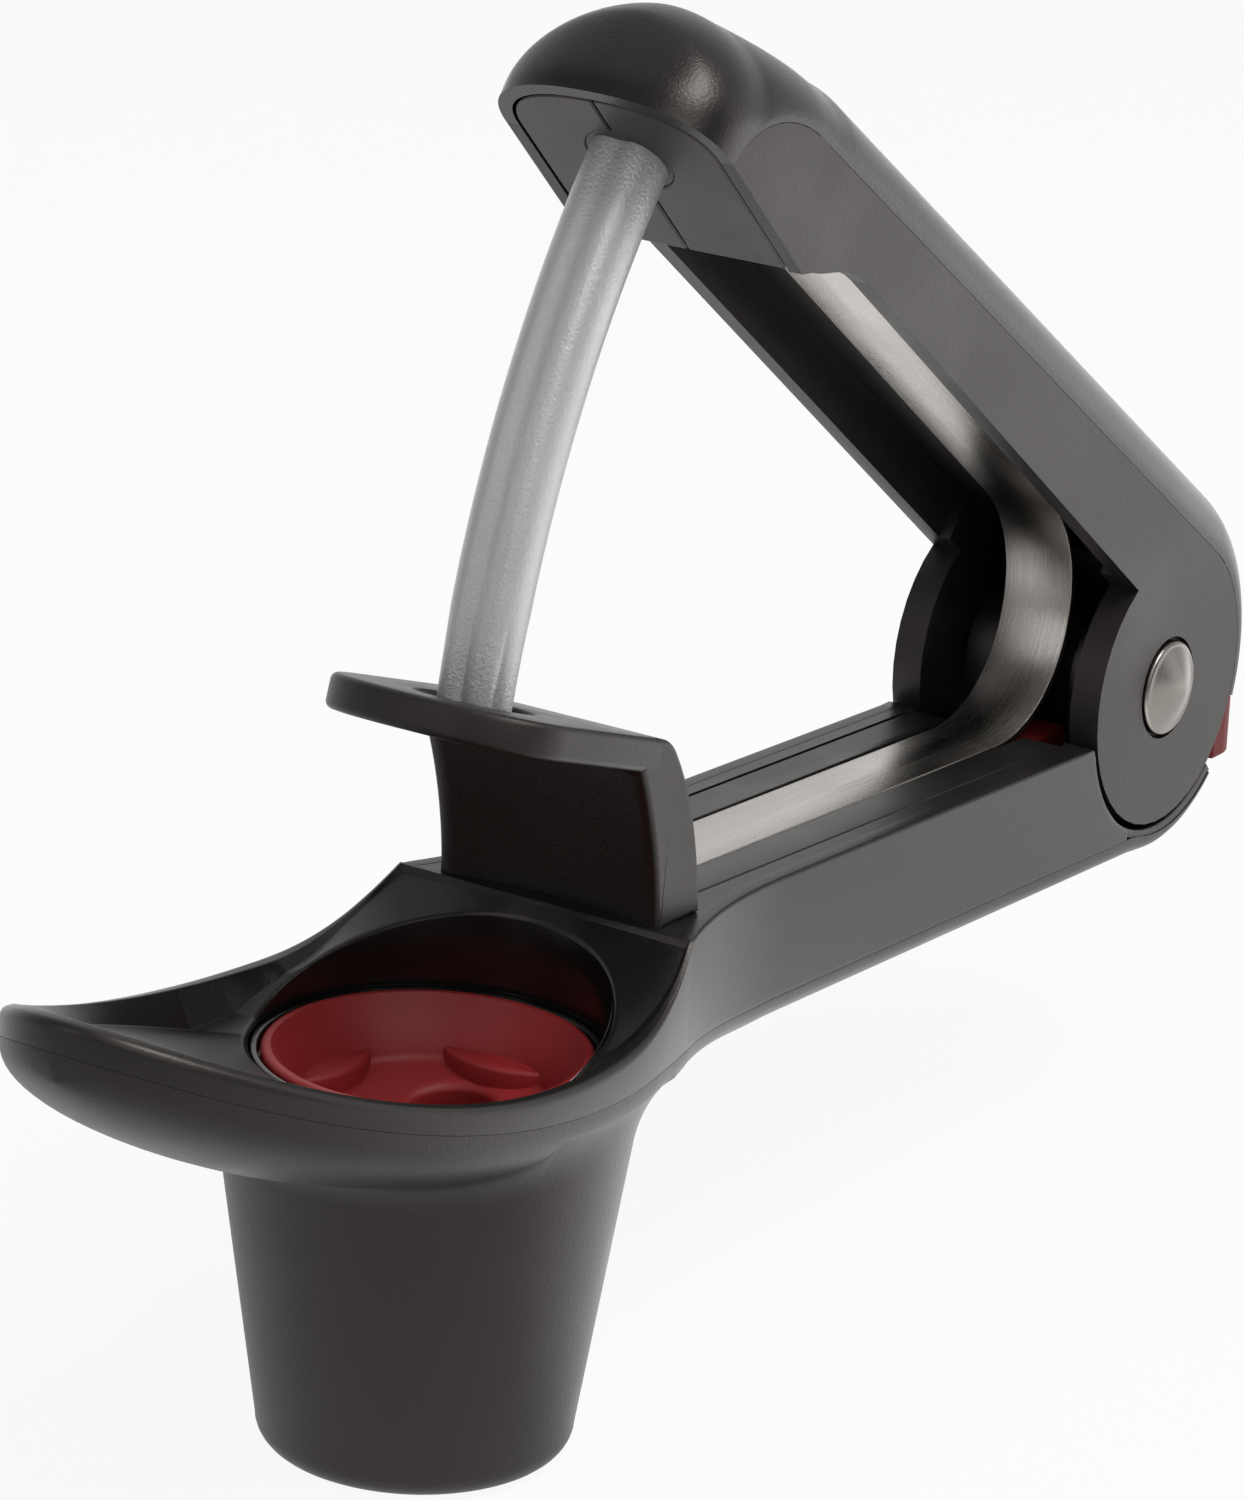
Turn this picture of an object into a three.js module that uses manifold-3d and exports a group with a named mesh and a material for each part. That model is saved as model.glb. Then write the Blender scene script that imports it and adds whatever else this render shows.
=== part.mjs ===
// Lever-type cherry and olive pitter: a cup with a fruit tray and a fixed guard on the lower arm, and a
// sprung upper lever that drives a curved rod through the guard into the cup. Millimetres, +Z up.
// Everything is laid out in the cup frame: X runs back towards the hinge, Z is the cup's axis and
// z = 0 is the rim of the red insert. The last group moves that frame onto the object's own origin.
import * as THREE from 'three';
import { mergeVertices } from 'three/addons/utils/BufferGeometryUtils.js';
import Module from 'manifold-3d';

const wasm = await Module();
wasm.setup();

// ---------------------------------------------------------------- driving dimensions
const GAP = 0.3;                    // clearance between pieces that touch or seat on each other
const DEG = Math.PI / 180;

const ARM_HALF = 13.3;              // half width of both arms
const HINGE = { x: 123.8, z: 10.3 };
const LEVER_OPEN = 36.6;            // slope of the lever at rest, degrees
const CLOSING = 26.1;               // travel of the lever, degrees

const CUP = { height: 41.8, baseRadius: 15.6, brim: 1.6, wall: 2.2, foot: 2.9, outlet: 10.4 };
const BORE = { radius: 17.8, seat: -3.0, collar: 20.2 };
const INSERT = { radius: 16.5, wall: 1.6, floorRadius: 12.4, floorDepth: 6.0, floorFall: 3.2, lipWidth: 1.1 };
const OUTLET = { x: 4.3, halfLength: 4.4, halfWidth: 4.4, sleeve: 6.0, lean: 1.1, wall: 1.2 };
const LUG = { count: 4, offset: 11.1, radius: 10.4, halfThick: 1.9, height: 1.4 };

const TRAY = { centre: -12, front: 46.8, rear: 50, half: 23, ridge: 19.5, land: 1.8, slopeWidth: 4.6,
  depth: 4.05, shallower: 0.12, round: 1.4 };
const RIM = { low: 3.6, tip: 19.6, shoulder: 10.0 };
const SEAM = { low: -0.2, tilt: -0.08, rise: 0.0035, armStart: 42, armZ: -3.8, armSlope: 0.03 };
const HULL = { depth: 9.0, centre: -25, front: 35, armDepth: 4.4, flare: 3.6 };

const ARM_TOP = { z: 9.95, slope: 0.035 };
const NECK = 25;                    // length over which the tray's shoulders draw in to the arm
const CHANNEL = { start: 30.5, half: 9.7, floor: -1.2, end: HINGE.x - 17.3 };
const BED = { depth: 3.4, grooveDepth: 1.2 };
const LEAF = { half: 4.3, thick: 0.8, start: 31.6, bendStart: HINGE.x - 22.2, bendRadius: 14.2, endGap: 2.3 };

const CHEEK = { radius: 15.8, inner: 9.7, knee: 16.7, pocket: 16.6, shift: 0.35, wallAngle: -45,
  wallOut: 2.0 };
const LUGS = { inner: 5.2, outer: 8.45, radius: 8.2, barrel: 7.6 };
const PIN = { radius: 2.5, headRadius: 5.4, headRise: 2.5, recess: 5.9, recessDepth: 1.0 };
const BUSH = { wall: 0.9 };
const WASHER = { thick: 0.65, radius: 6.0 };

const LEVER = { wall: 2.1, ceiling: 11.5, under: 5.6, notch: HINGE.x - 31.8, topFall: 0.0364, crown: 8.2, kneeEnd: 70 };
const HEAD = { back: HINGE.x - 19.5, backT: 0.6, side: 19.2, nose: 9.0, squareness: 2.35, tilt: 7.2, rim: 1.5, plate: 3.0,
  shoulder: HINGE.x - 17.3, mouth: 3.0, lip: 1.0, fallStart: 2.3, fallPower: 1.14, tipWall: 3.7 };
const GUARD = { plate: 3.6, slot: 6.1, wallBase: 7.7, wallTop: 4.4, stand: 0.6, hollow: 1.8 };
const ROD = { path: HINGE.x - 3.2, radius: 4.15, groove: 0.8, grooveTurn: -5, flute: 0.7, fluteCount: 6,
  fluteRun: 5.5, root: 5.5, tip: 10.2 };
const LOCK = { inner: 13.5, from: -62, to: -54, reach: 5.6, kneeEnd: -24 };
const LATCH = { travel: 4.0, half: 8.8, top: -0.35, thick: 1.95, step: 0.7, tabLow: -4.5, tabHigh: 2.4,
  front: HINGE.x + 13.7, tabFront: HINGE.x + 20.9, tabLength: 6.0, screwX: HINGE.x + 5.7,
  tongueHalf: 4.5, tongueFront: HINGE.x - 17.8, block: 11, blockTop: 5.6 };
const SCREW = { radius: 1.4, head: 2.7, headThick: 1.7 };

const PALETTE = {
  plastic: { color: 0x1b1b1c, roughness: 0.55, metalness: 0 },
  soft: { color: 0x141415, roughness: 0.42, metalness: 0 },
  silicone: { color: 0xa3131b, roughness: 0.5, metalness: 0 },
  red: { color: 0x9c1a1e, roughness: 0.4, metalness: 0 },
  steel: { color: 0xb9b8b4, roughness: 0.3, metalness: 1 },
  diecast: { color: 0x9a9da1, roughness: 0.42, metalness: 0.9 },
  nylon: { color: 0xd8d5cc, roughness: 0.5, metalness: 0 },
};

// ---------------------------------------------------------------- form functions of the lower arm
const smooth = (t) => t * t * (3 - 2 * t);
const clamp01 = (t) => Math.min(1, Math.max(0, t));
const ease = (x, x0, x1) => smooth(clamp01((x - x0) / (x1 - x0)));

const trayHalf = (x) => {
  const reach = x < TRAY.centre ? TRAY.front : TRAY.rear;
  return TRAY.half * Math.sqrt(Math.max(0, 1 - ((x - TRAY.centre) / reach) ** 2));
};
const trayTip = TRAY.centre - TRAY.front;
const shoulderHalf = trayHalf(TRAY.ridge);

const halfWidth = (x) => {
  if (x <= TRAY.ridge) return trayHalf(x);
  const t = clamp01((x - TRAY.ridge) / NECK);
  return ARM_HALF + (shoulderHalf - ARM_HALF) * (1 - t) ** 2.2;
};
const rimZ = (x) => (x < 0
  ? RIM.low + (RIM.tip - RIM.low) * (x / trayTip) ** 2
  : RIM.low + (RIM.shoulder - RIM.low) * (x / TRAY.ridge) ** 2.6);
const seamFree = (x) => SEAM.low + SEAM.tilt * x + SEAM.rise * x * x;
const seamZ = (x) => {
  if (x <= 8) return seamFree(x);
  const drop = ease(x, 8, SEAM.armStart);
  return seamFree(8) * (1 - drop) + SEAM.armZ * drop - SEAM.armSlope * Math.max(0, x - SEAM.armStart);
};
const armTopZ = (x) => ARM_TOP.z - ARM_TOP.slope * (x - TRAY.ridge);
const boreEdgeZ = (x) => (x > -5 ? 2 + 0.35 * x : 0.25 * Math.exp((x + 5) / 6));
const hullDepth = (x) => {
  const front = Math.max(0, 1 - ((x - HULL.centre) / HULL.front) ** 2) ** 0.45;
  const full = x < HULL.centre ? HULL.depth * front : HULL.depth;
  return full + (HULL.armDepth - full) * ease(x, 0, 34);
};
const cupSlope = (TRAY.half - CUP.brim - CUP.baseRadius) / (CUP.height + BORE.seat);
const cupOuter = (z) => CUP.baseRadius + cupSlope * (z + CUP.height);

// ---------------------------------------------------------------- solids
function toManifold(geometry) {
  const bare = geometry.clone();
  bare.deleteAttribute('normal');
  bare.deleteAttribute('uv');
  const merged = mergeVertices(bare, 1e-5);
  const points = merged.attributes.position;
  const index = merged.index.array;
  const [p, q, r] = [new THREE.Vector3(), new THREE.Vector3(), new THREE.Vector3()];
  const kept = [];
  let volume = 0;
  for (let i = 0; i < index.length; i += 3) {
    const [a, b, c] = [index[i], index[i + 1], index[i + 2]];
    if (a === b || b === c || a === c) continue;
    kept.push(a, b, c);
    volume += p.fromBufferAttribute(points, a).dot(q.fromBufferAttribute(points, b)
      .cross(r.fromBufferAttribute(points, c)));
  }
  if (volume < 0) kept.reverse();
  return new wasm.Manifold(new wasm.Mesh({
    numProp: 3, vertProperties: new Float32Array(points.array), triVerts: new Uint32Array(kept),
  }));
}

function toGeometry(solid) {
  const mesh = solid.getMesh();
  const geometry = new THREE.BufferGeometry();
  geometry.setAttribute('position', new THREE.BufferAttribute(new Float32Array(mesh.vertProperties), 3));
  geometry.setIndex(new THREE.BufferAttribute(new Uint32Array(mesh.triVerts), 1));
  geometry.computeVertexNormals();
  return geometry;
}

const union = (...parts) => parts.reduce((a, b) => a.add(b));
const cut = (solid, ...tools) => tools.reduce((a, b) => a.subtract(b), solid);

// a closed body from rings of points: capped at both ends, or closed on itself when loop is true
function loft(rings, loop = false) {
  const count = rings[0].length;
  const points = rings.flat();
  const faces = [];
  const steps = loop ? rings.length : rings.length - 1;
  for (let i = 0; i < steps; i += 1) {
    const a = i * count;
    const b = ((i + 1) % rings.length) * count;
    for (let j = 0; j < count; j += 1) {
      const k = (j + 1) % count;
      faces.push(a + j, b + j, b + k, a + j, b + k, a + k);
    }
  }
  if (!loop) {
    for (const [start, flip] of [[0, false], [(rings.length - 1) * count, true]]) {
      const flat = flatten(points.slice(start, start + count));
      for (const [p, q, r] of THREE.ShapeUtils.triangulateShape(flat, [])) {
        faces.push(start + p, start + (flip ? r : q), start + (flip ? q : r));
      }
    }
  }
  const geometry = new THREE.BufferGeometry();
  geometry.setAttribute('position', new THREE.Float32BufferAttribute(points.flat(), 3));
  geometry.setIndex(faces);
  return toManifold(geometry);
}

// a ring's points in the plane of its two widest directions, for its cap
function flatten(ring) {
  const normal = new THREE.Vector3();
  ring.forEach((p, i) => {
    const q = ring[(i + 1) % ring.length];
    normal.add(new THREE.Vector3(...p).cross(new THREE.Vector3(...q)));
  });
  normal.normalize();
  const side = Math.abs(normal.z) < 0.9 ? new THREE.Vector3(0, 0, 1) : new THREE.Vector3(1, 0, 0);
  const u = side.clone().cross(normal).normalize();
  const v = normal.clone().cross(u);
  return ring.map((p) => new THREE.Vector2(new THREE.Vector3(...p).dot(u), new THREE.Vector3(...p).dot(v)));
}

// an outline in X and Z, given as THREE.Shape or points, pulled along Y from y0 to y1
function slab(outline, y0, y1, segments = 24) {
  const shape = Array.isArray(outline) ? new THREE.Shape(outline.map((p) => new THREE.Vector2(...p))) : outline;
  const body = new THREE.ExtrudeGeometry(shape, { depth: y1 - y0, bevelEnabled: false, curveSegments: segments });
  return toManifold(body.rotateX(Math.PI / 2).translate(0, y1, 0));
}

// an outline in X and Y pulled along Z from z0 to z1
function post(outline, z0, z1, segments = 24) {
  const shape = Array.isArray(outline) ? new THREE.Shape(outline.map((p) => new THREE.Vector2(...p))) : outline;
  const body = new THREE.ExtrudeGeometry(shape, { depth: z1 - z0, bevelEnabled: false, curveSegments: segments });
  return toManifold(body.translate(0, 0, z0));
}

const block = (x0, x1, y0, y1, z0, z1) => toManifold(
  new THREE.BoxGeometry(x1 - x0, y1 - y0, z1 - z0).translate((x0 + x1) / 2, (y0 + y1) / 2, (z0 + z1) / 2),
);

// a body turned about the Z axis from a closed profile of [radius, z]
function turned(profile, segments = 48) {
  const ring = [...profile, profile[0]].map((p) => new THREE.Vector2(...p));
  return toManifold(new THREE.LatheGeometry(ring, segments).rotateX(Math.PI / 2));
}

const along = (solid, x, y, z) => solid.translate([x, y, z]);
const crossPin = (radius, y0, y1, x, z, segments = 32) => toManifold(
  new THREE.CylinderGeometry(radius, radius, y1 - y0, segments).translate(x, (y0 + y1) / 2, z),
);
const upright = (radius, z0, z1, x, y, segments = 20) => toManifold(
  new THREE.CylinderGeometry(radius, radius, z1 - z0, segments).rotateX(Math.PI / 2).translate(x, y, (z0 + z1) / 2),
);
const bothSides = (make) => union(make(1), make(-1));

function circle(radius, x = 0, y = 0) {
  const shape = new THREE.Shape();
  shape.absarc(x, y, radius, 0, 2 * Math.PI, false);
  return shape;
}

// a ring sector about the hinge, angles in degrees from +X towards +Z
function sector(r0, r1, from, to, x = HINGE.x, z = HINGE.z) {
  const shape = new THREE.Shape();
  shape.absarc(x, z, r1, from * DEG, to * DEG, false);
  if (r0 > 0) shape.absarc(x, z, r0, to * DEG, from * DEG, true);
  else shape.lineTo(x, z);
  return shape;
}

// ---------------------------------------------------------------- the tray's rings around the cup
const RIDGE_ANGLE = Math.atan2(shoulderHalf, TRAY.ridge);

// distance from the cup's axis to the tray's outer edge in direction angle
function trayReach(angle) {
  const c = Math.cos(angle);
  const s = Math.abs(Math.sin(angle));
  if (Math.atan2(s, c) <= RIDGE_ANGLE) return TRAY.ridge / c;
  let low = BORE.radius;
  let high = TRAY.front - TRAY.centre + 5;
  for (let i = 0; i < 40; i += 1) {
    const mid = (low + high) / 2;
    if (trayHalf(mid * c) > mid * s && mid * c > trayTip) low = mid;
    else high = mid;
  }
  return low;
}

// outer radius of the tray's flat foot, which sits on the cup's wall
const collarAt = (reach) => Math.min(BORE.collar, reach - 0.9);

function trayRing(section) {
  const angles = [];
  const fine = 72;
  for (let i = 0; i < fine; i += 1) angles.push(-Math.PI + (i * 2 * Math.PI) / fine);
  angles.push(RIDGE_ANGLE, -RIDGE_ANGLE);
  angles.sort((a, b) => a - b);
  return loft(angles.map((angle) => {
    const c = Math.cos(angle);
    const s = Math.sin(angle);
    return section(trayReach(angle), c, angle).map(([r, z]) => [r * c, r * s, z]);
  }), true);
}

// the tray's upper face from the bore edge over the floor and the wall to the rim
function trayFace(reach, c) {
  const x = reach * c;
  const back = ease(x, 0, TRAY.ridge);
  const mix = (front, rear) => front + (rear - front) * back;
  const round = mix(TRAY.round, 0.2);
  const inner = Math.max(BORE.radius + 0.4, reach - mix(TRAY.land, 0.5));
  const foot = Math.max(BORE.radius + 0.2, inner - mix(TRAY.slopeWidth, 0.4));
  const edge = boreEdgeZ(BORE.radius * c);
  const rim = x > TRAY.ridge - 0.01 ? armTopZ(TRAY.ridge) : rimZ(x);
  const depth = Math.max(0.8, Math.min(4.2, TRAY.depth + TRAY.shallower * (x + 10), (rim - edge) * 0.9));
  const floor = foot > BORE.radius + 0.3 ? Math.max(edge, rim - depth) : edge + 0.1;
  const footZ = floor + (edge + (rim - edge) * 0.75 - floor) * back;
  return [[BORE.radius, edge], [foot, footZ], [inner, rim], [Math.max(inner + 0.01, reach - round), rim],
    [reach - 0.29 * round, rim - 0.29 * round], [reach, rim - round]];
}

// ---------------------------------------------------------------- lower arm pieces
function armSection(x, bottom, top, half = halfWidth(x)) {
  const bevel = Math.min(0.8, half / 3);
  return [[x, -half, bottom], [x, half, bottom], [x, half, top - bevel], [x, half - bevel, top],
    [x, -half + bevel, top], [x, -half, top - bevel]];
}

const range = (from, to, step) => {
  const count = Math.max(1, Math.round((to - from) / step));
  return Array.from({ length: count + 1 }, (_, i) => from + ((to - from) * i) / count);
};

// the arm starts just inside the tray's back face; both mouldings share these stations
const armStations = [TRAY.ridge - 0.5, ...range(TRAY.ridge, TRAY.ridge + NECK, 2.5), ...range(50, HINGE.x - 7, 17)];

// room in the lower arm for the lever's two cheek discs: a round well, a little behind and below the hinge
const LATCH_GAP = 0.4;
const WELL = { x: HINGE.x + CHEEK.shift, z: HINGE.z - CHEEK.shift };
const wellCylinder = (radius, half) => crossPin(radius, -half, half, WELL.x, WELL.z, 64);
const cheekPocket = () => bothSides((side) => crossPin(CHEEK.pocket, side > 0 ? 9.3 : -20,
  side > 0 ? 20 : -9.3, WELL.x, WELL.z, 64));

function makeBaseFrame() {
  const tray = trayRing((reach, c) => [
    [BORE.radius, BORE.seat], ...trayFace(reach, c), [reach, seamZ(reach * c)],
    [collarAt(reach), BORE.seat],
  ]);
  const arm = loft(armStations.map((x) => armSection(x, seamZ(x), x < TRAY.ridge ? armTopZ(x) - 1 : armTopZ(x))));
  const [heelFront, heelRear] = [HINGE.x - 10, HINGE.x + 8.4];
  const heelTop = LATCH.top - LATCH.thick - LATCH_GAP;
  const heel = slab([[heelFront, seamZ(heelFront)], [heelRear, seamZ(heelRear)], [heelRear, heelTop],
    [heelFront, heelTop]], -LUGS.outer, LUGS.outer).intersect(wellCylinder(CHEEK.pocket + 0.1, 20));
  const bodyTop = armTopZ(CHANNEL.start) + 1;
  const channel = block(CHANNEL.start, HINGE.x + 20, -CHANNEL.half, CHANNEL.half, CHANNEL.floor, bodyTop);
  const runway = block(LATCH.tongueFront - LATCH.travel - 1, HINGE.x + 20, -LATCH.tongueHalf - 0.5, LATCH.tongueHalf + 0.5,
    LATCH.top - LATCH.thick - GAP, bodyTop);
  const lugs = bothSides((side) => {
    const [y0, y1] = side > 0 ? [LUGS.inner, LUGS.outer] : [-LUGS.outer, -LUGS.inner];
    const foot = slab([[HINGE.x - LUGS.radius, seamZ(HINGE.x)], [HINGE.x + 2, seamZ(HINGE.x)],
      [HINGE.x + LUGS.radius, HINGE.z], [HINGE.x - LUGS.radius, HINGE.z]], y0, y1);
    return union(foot, crossPin(LUGS.radius, y0, y1, HINGE.x, HINGE.z, 40));
  });
  const barrel = crossPin(LUGS.barrel, -LUGS.inner - 0.2, LUGS.inner + 0.2, HINGE.x, HINGE.z, 32);
  const bushBore = crossPin(PIN.radius + GAP + BUSH.wall + GAP, -20, 20, HINGE.x, HINGE.z);
  const lockSweep = bothSides((side) => slab(sector(LOCK.inner - 0.5, 30, LOCK.from - 5, -10),
    side > 0 ? LOCK.reach - 0.4 : -LUGS.outer - 1, side > 0 ? LUGS.outer + 1 : -LOCK.reach + 0.4));
  const floorHoles = shellScrewPlaces.map(([x]) => upright(SCREW.radius + GAP, seamZ(x) - 1, seamZ(x) + 3.4, x, 0));
  const latchHole = upright(SCREW.radius + GAP, seamZ(HINGE.x) - 1, 0, LATCH.screwX, 0);
  const guardHoles = guardScrewPlaces.map(([x, y]) => union(
    upright(SCREW.radius + GAP, -8, 14, x, y),
    upright(SCREW.head + GAP, -8, seamZ(x) + SCREW.headThick + 2 * GAP, x, y),
  ));
  return cut(union(cut(union(tray, arm), channel, runway, cheekPocket()), cut(union(heel, lugs, barrel), lockSweep)),
    bushBore, latchHole, ...floorHoles, ...guardHoles);
}

function hullSection(x, half, top, depth, steps = 10) {
  const ring = [[x, -half, top], [x, half, top]];
  for (let i = 0; i <= steps; i += 1) {
    const a = (i * Math.PI) / steps;
    ring.push([x, half * Math.cos(a), top - 0.25 - (depth - 0.25) * Math.sin(a) ** 0.8]);
  }
  return ring;
}

// height of the hull's underside at x, y, and the ring that eases it into the cup's wall
const hullUnder = (x, y) => seamZ(x) - 0.25
  - (hullDepth(x) - 0.25) * Math.max(0, 1 - (y / halfWidth(x)) ** 2) ** 0.4;

function flareRing() {
  return loft(range(-180, 175, 5).map((turn) => {
    const [c, s] = [Math.cos(turn * DEG), Math.sin(turn * DEG)];
    let r = CUP.baseRadius;
    while (hullUnder(r * c, r * s) > (r - CUP.baseRadius) / cupSlope - CUP.height && r < 30) r += 0.05;
    const corner = [r, (r - CUP.baseRadius) / cupSlope - CUP.height];
    const out = Math.min(r + HULL.flare, trayReach(turn * DEG) - 0.15);
    const high = [out, hullUnder(out * c, out * s) + 0.05];
    const low = [cupOuter(corner[1] - HULL.flare) - 0.05, corner[1] - HULL.flare];
    const curve = [0.25, 0.5, 0.75].map((t) => [0, 1].map((i) => high[i] * (1 - t) ** 2
      + 2 * corner[i] * t * (1 - t) + low[i] * t * t));
    return [high, ...curve, low, [r - 1.5, corner[1] + 0.4]].map(([q, z]) => [q * c, q * s, z]);
  }), true);
}

function makeCupShell() {
  const tip = trayTip + 0.3;
  const wallInner = CHEEK.pocket + GAP;
  const wallAt = (radius, angle) => [WELL.x + radius * Math.cos(angle * DEG), WELL.z + radius * Math.sin(angle * DEG)];
  const stations = [...range(tip, tip + 3, 1), ...range(tip + 6, 0, 5.5), ...range(5, TRAY.ridge + NECK, 5),
    ...range(52, WELL.x, 14)];
  const hull = loft(stations.map((x) => hullSection(x, halfWidth(x), seamZ(x) + 0.5, hullDepth(x) + 0.5)));
  const heelDepth = WELL.z - seamZ(WELL.x) + hullDepth(WELL.x);
  const rear = loft(range(-90, CHEEK.wallAngle, 5).map((angle) => {
    const outer = heelDepth + (wallInner + CHEEK.wallOut - heelDepth) * ((angle + 90) / (CHEEK.wallAngle + 90));
    return range(0, 180, 18).map((turn) => {
      const [c, q] = [Math.cos(turn * DEG), Math.sin(turn * DEG)];
      const [x, z] = wallAt(wallInner - 0.1 + (outer - wallInner + 0.1) * q ** 0.8, angle);
      return [x, ARM_HALF * c, z];
    });
  }));
  const top = BORE.seat - GAP;
  const inner = (z) => cupOuter(z) - CUP.wall;
  const arc = [0, 0.25, 0.5, 0.75, 1].map((t) => {
    const a = (t * Math.PI) / 2;
    return [cupOuter(-CUP.height + CUP.foot) - CUP.foot * (1 - Math.cos(a)), -CUP.height + CUP.foot * (1 - Math.sin(a))];
  });
  const cup = turned([[cupOuter(top), top], ...arc, [CUP.outlet, -CUP.height],
    [CUP.outlet, -CUP.height + CUP.wall], [inner(-CUP.height + CUP.foot) - 1.4, -CUP.height + CUP.wall],
    [inner(-CUP.height + CUP.foot + 1.5), -CUP.height + CUP.foot + 1.5], [inner(top - 3), top - 3],
    [INSERT.radius - 1.5, top - 2], [INSERT.radius - 1.5, top]]);
  const hollow = turned([[0, 10], [0, -CUP.height + 6], [inner(-CUP.height + 6) + 0.6, -CUP.height + 6],
    [inner(top) + 0.6, top + 0.1], [BORE.radius - 5, top + 0.1], [BORE.radius - 5, 10]]);
  const above = trayRing((reach, c) => [
    [BORE.radius - 6, BORE.seat - GAP], [collarAt(reach) + GAP, BORE.seat - GAP],
    [reach, seamZ(reach * c) - GAP], [reach + 6, seamZ(reach * c) - GAP], [reach + 6, 40], [BORE.radius - 6, 40],
  ]);
  const aboveArm = loft([...armStations, WELL.x].map((x) => {
    const [half, low] = [halfWidth(x) + 5, seamZ(x) - GAP];
    return [[x, -half, low], [x, half, low], [x, half, 40], [x, -half, 40]];
  }));
  const well = wellCylinder(wallInner, 20);
  const screws = shellScrewPlaces.map(([x]) => {
    const low = seamZ(x) - hullDepth(x);
    return union(upright(SCREW.radius + GAP, low - 2, 2, x, 0),
      upright(SCREW.head + GAP, low - 2, low + SCREW.headThick + 0.8, x, 0));
  });
  const latchWay = block(WELL.x, WELL.x + 30, -LATCH.half - GAP, LATCH.half + GAP,
    LATCH.top - LATCH.thick - GAP, 20);
  const frontHull = cut(hull, above, aboveArm);
  return cut(union(cut(frontHull, hollow), cup, flareRing(), rear), well, latchWay, ...screws);
}

const shellScrewPlaces = [[38], [76], [HINGE.x - 19.8]];
const guardScrewPlaces = [[24.2, -8.5], [24.2, 8.5]];

const screw = (x, y, headZ, tipZ) => {
  const up = tipZ > headZ ? 1 : -1;
  const neck = headZ + up * SCREW.headThick;
  return union(upright(SCREW.head, Math.min(headZ, neck), Math.max(headZ, neck), x, y),
    upright(SCREW.radius, Math.min(neck - up * 0.2, tipZ), Math.max(neck - up * 0.2, tipZ), x, y));
};

const ellipsePost = (x, halfLength, halfWidth, low, high) => {
  const outline = new THREE.Shape();
  outline.absellipse(x, 0, halfLength, halfWidth, 0, 2 * Math.PI, false);
  return post(outline, low, high, 14);
};

// the dish, its outlet sleeve that leans back with the rod's path, and lens-shaped lugs round the outlet
function makeInsert() {
  const lip = INSERT.radius - INSERT.lipWidth;
  const w = INSERT.wall;
  const floor = -INSERT.floorDepth;
  const centre = floor - INSERT.floorFall;
  const dish = turned([[0, centre], [INSERT.floorRadius - 0.8, floor - 0.2], [INSERT.floorRadius, floor + 0.6],
    [lip, -0.35], [lip + 0.45, 0], [INSERT.radius, -0.3], [INSERT.radius, -1.2], [lip - 0.4, -1.3],
    [INSERT.floorRadius - 0.2, floor - w + 0.8], [INSERT.floorRadius - 0.8, floor - w], [0, centre - w]]);
  const { x, halfLength, halfWidth, sleeve, lean, wall } = OUTLET;
  const low = floor - sleeve;
  const outside = ellipsePost(x + lean / 2, halfLength + lean / 2 + wall, halfWidth + wall, low, floor - 1.9);
  const throat = ellipsePost(x, halfLength, halfWidth, centre - 0.6, 5);
  const tail = ellipsePost(x + lean / 2, halfLength + lean / 2, halfWidth, low - 1, centre - 0.5);
  const half = Math.acos((LUG.radius - LUG.halfThick) / LUG.radius);
  const lens = new THREE.Shape();
  lens.absarc(0, LUG.halfThick - LUG.radius, LUG.radius, Math.PI / 2 - half, Math.PI / 2 + half, false);
  lens.absarc(0, LUG.radius - LUG.halfThick, LUG.radius, -Math.PI / 2 - half, -Math.PI / 2 + half, false);
  const lugs = Array.from({ length: LUG.count }, (_, i) => post(lens, floor - w, floor + LUG.height, 8)
    .translate([0, LUG.offset, 0]).rotate([0, 0, (i * 360) / LUG.count]));
  return cut(union(dish, outside, ...lugs), throat, tail);
}

function makeInsertRing() {
  const outer = BORE.radius - GAP;
  const inner = INSERT.radius + GAP;
  const seat = BORE.seat;
  return turned([[INSERT.radius - 1.2, seat], [outer, seat], [outer, 0.3], [inner, 0.3], [inner, -1.55],
    [INSERT.radius - 1.2, -1.55]]);
}

// ---------------------------------------------------------------- the lever's own frame
// s runs from the hinge to the head, t stands off the lever; s = -x and t = z in the lever's group
const headDir = { s: Math.cos(HEAD.tilt * DEG), t: Math.sin(HEAD.tilt * DEG) };
const headPoint = (along_, off) => [HEAD.back + along_ * headDir.s - off * headDir.t,
  HEAD.backT + along_ * headDir.t + off * headDir.s];
const leverTop = (s) => CHEEK.knee - LEVER.topFall * s;

// places the lever's frame in the cup frame, with the lever closed by the given angle
function leverToCup([s, t], closed = 0) {
  const a = (LEVER_OPEN - closed) * DEG;
  return [HINGE.x - s * Math.cos(a) + t * Math.sin(a), HINGE.z + s * Math.sin(a) + t * Math.cos(a)];
}

// half width of the head at distance u from its back edge: straight sides, then a squarish round nose
const headHalf = (u, half = ARM_HALF, nose = HEAD.nose) => (u <= HEAD.side ? half
  : half * Math.max(0, 1 - ((u - HEAD.side) / nose) ** HEAD.squareness) ** (1 / HEAD.squareness));

// the head's outline in its own plane, drawn in by inset: u from the back edge, v across
function headOutline(inset, backInset = 0, count = 12) {
  const half = ARM_HALF - inset;
  const nose = HEAD.nose - inset;
  const curve = Array.from({ length: count + 1 }, (_, i) => {
    const u = HEAD.side + nose * Math.sin((i * Math.PI) / (2 * count));
    return [u, headHalf(u, half, nose)];
  });
  const mirror = curve.slice(0, -1).reverse().map(([u, v]) => [u, -v]);
  const points = [[backInset, half], ...curve, ...mirror, [backInset, -half]];
  return new THREE.Shape(points.map((p) => new THREE.Vector2(...p)));
}

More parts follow.
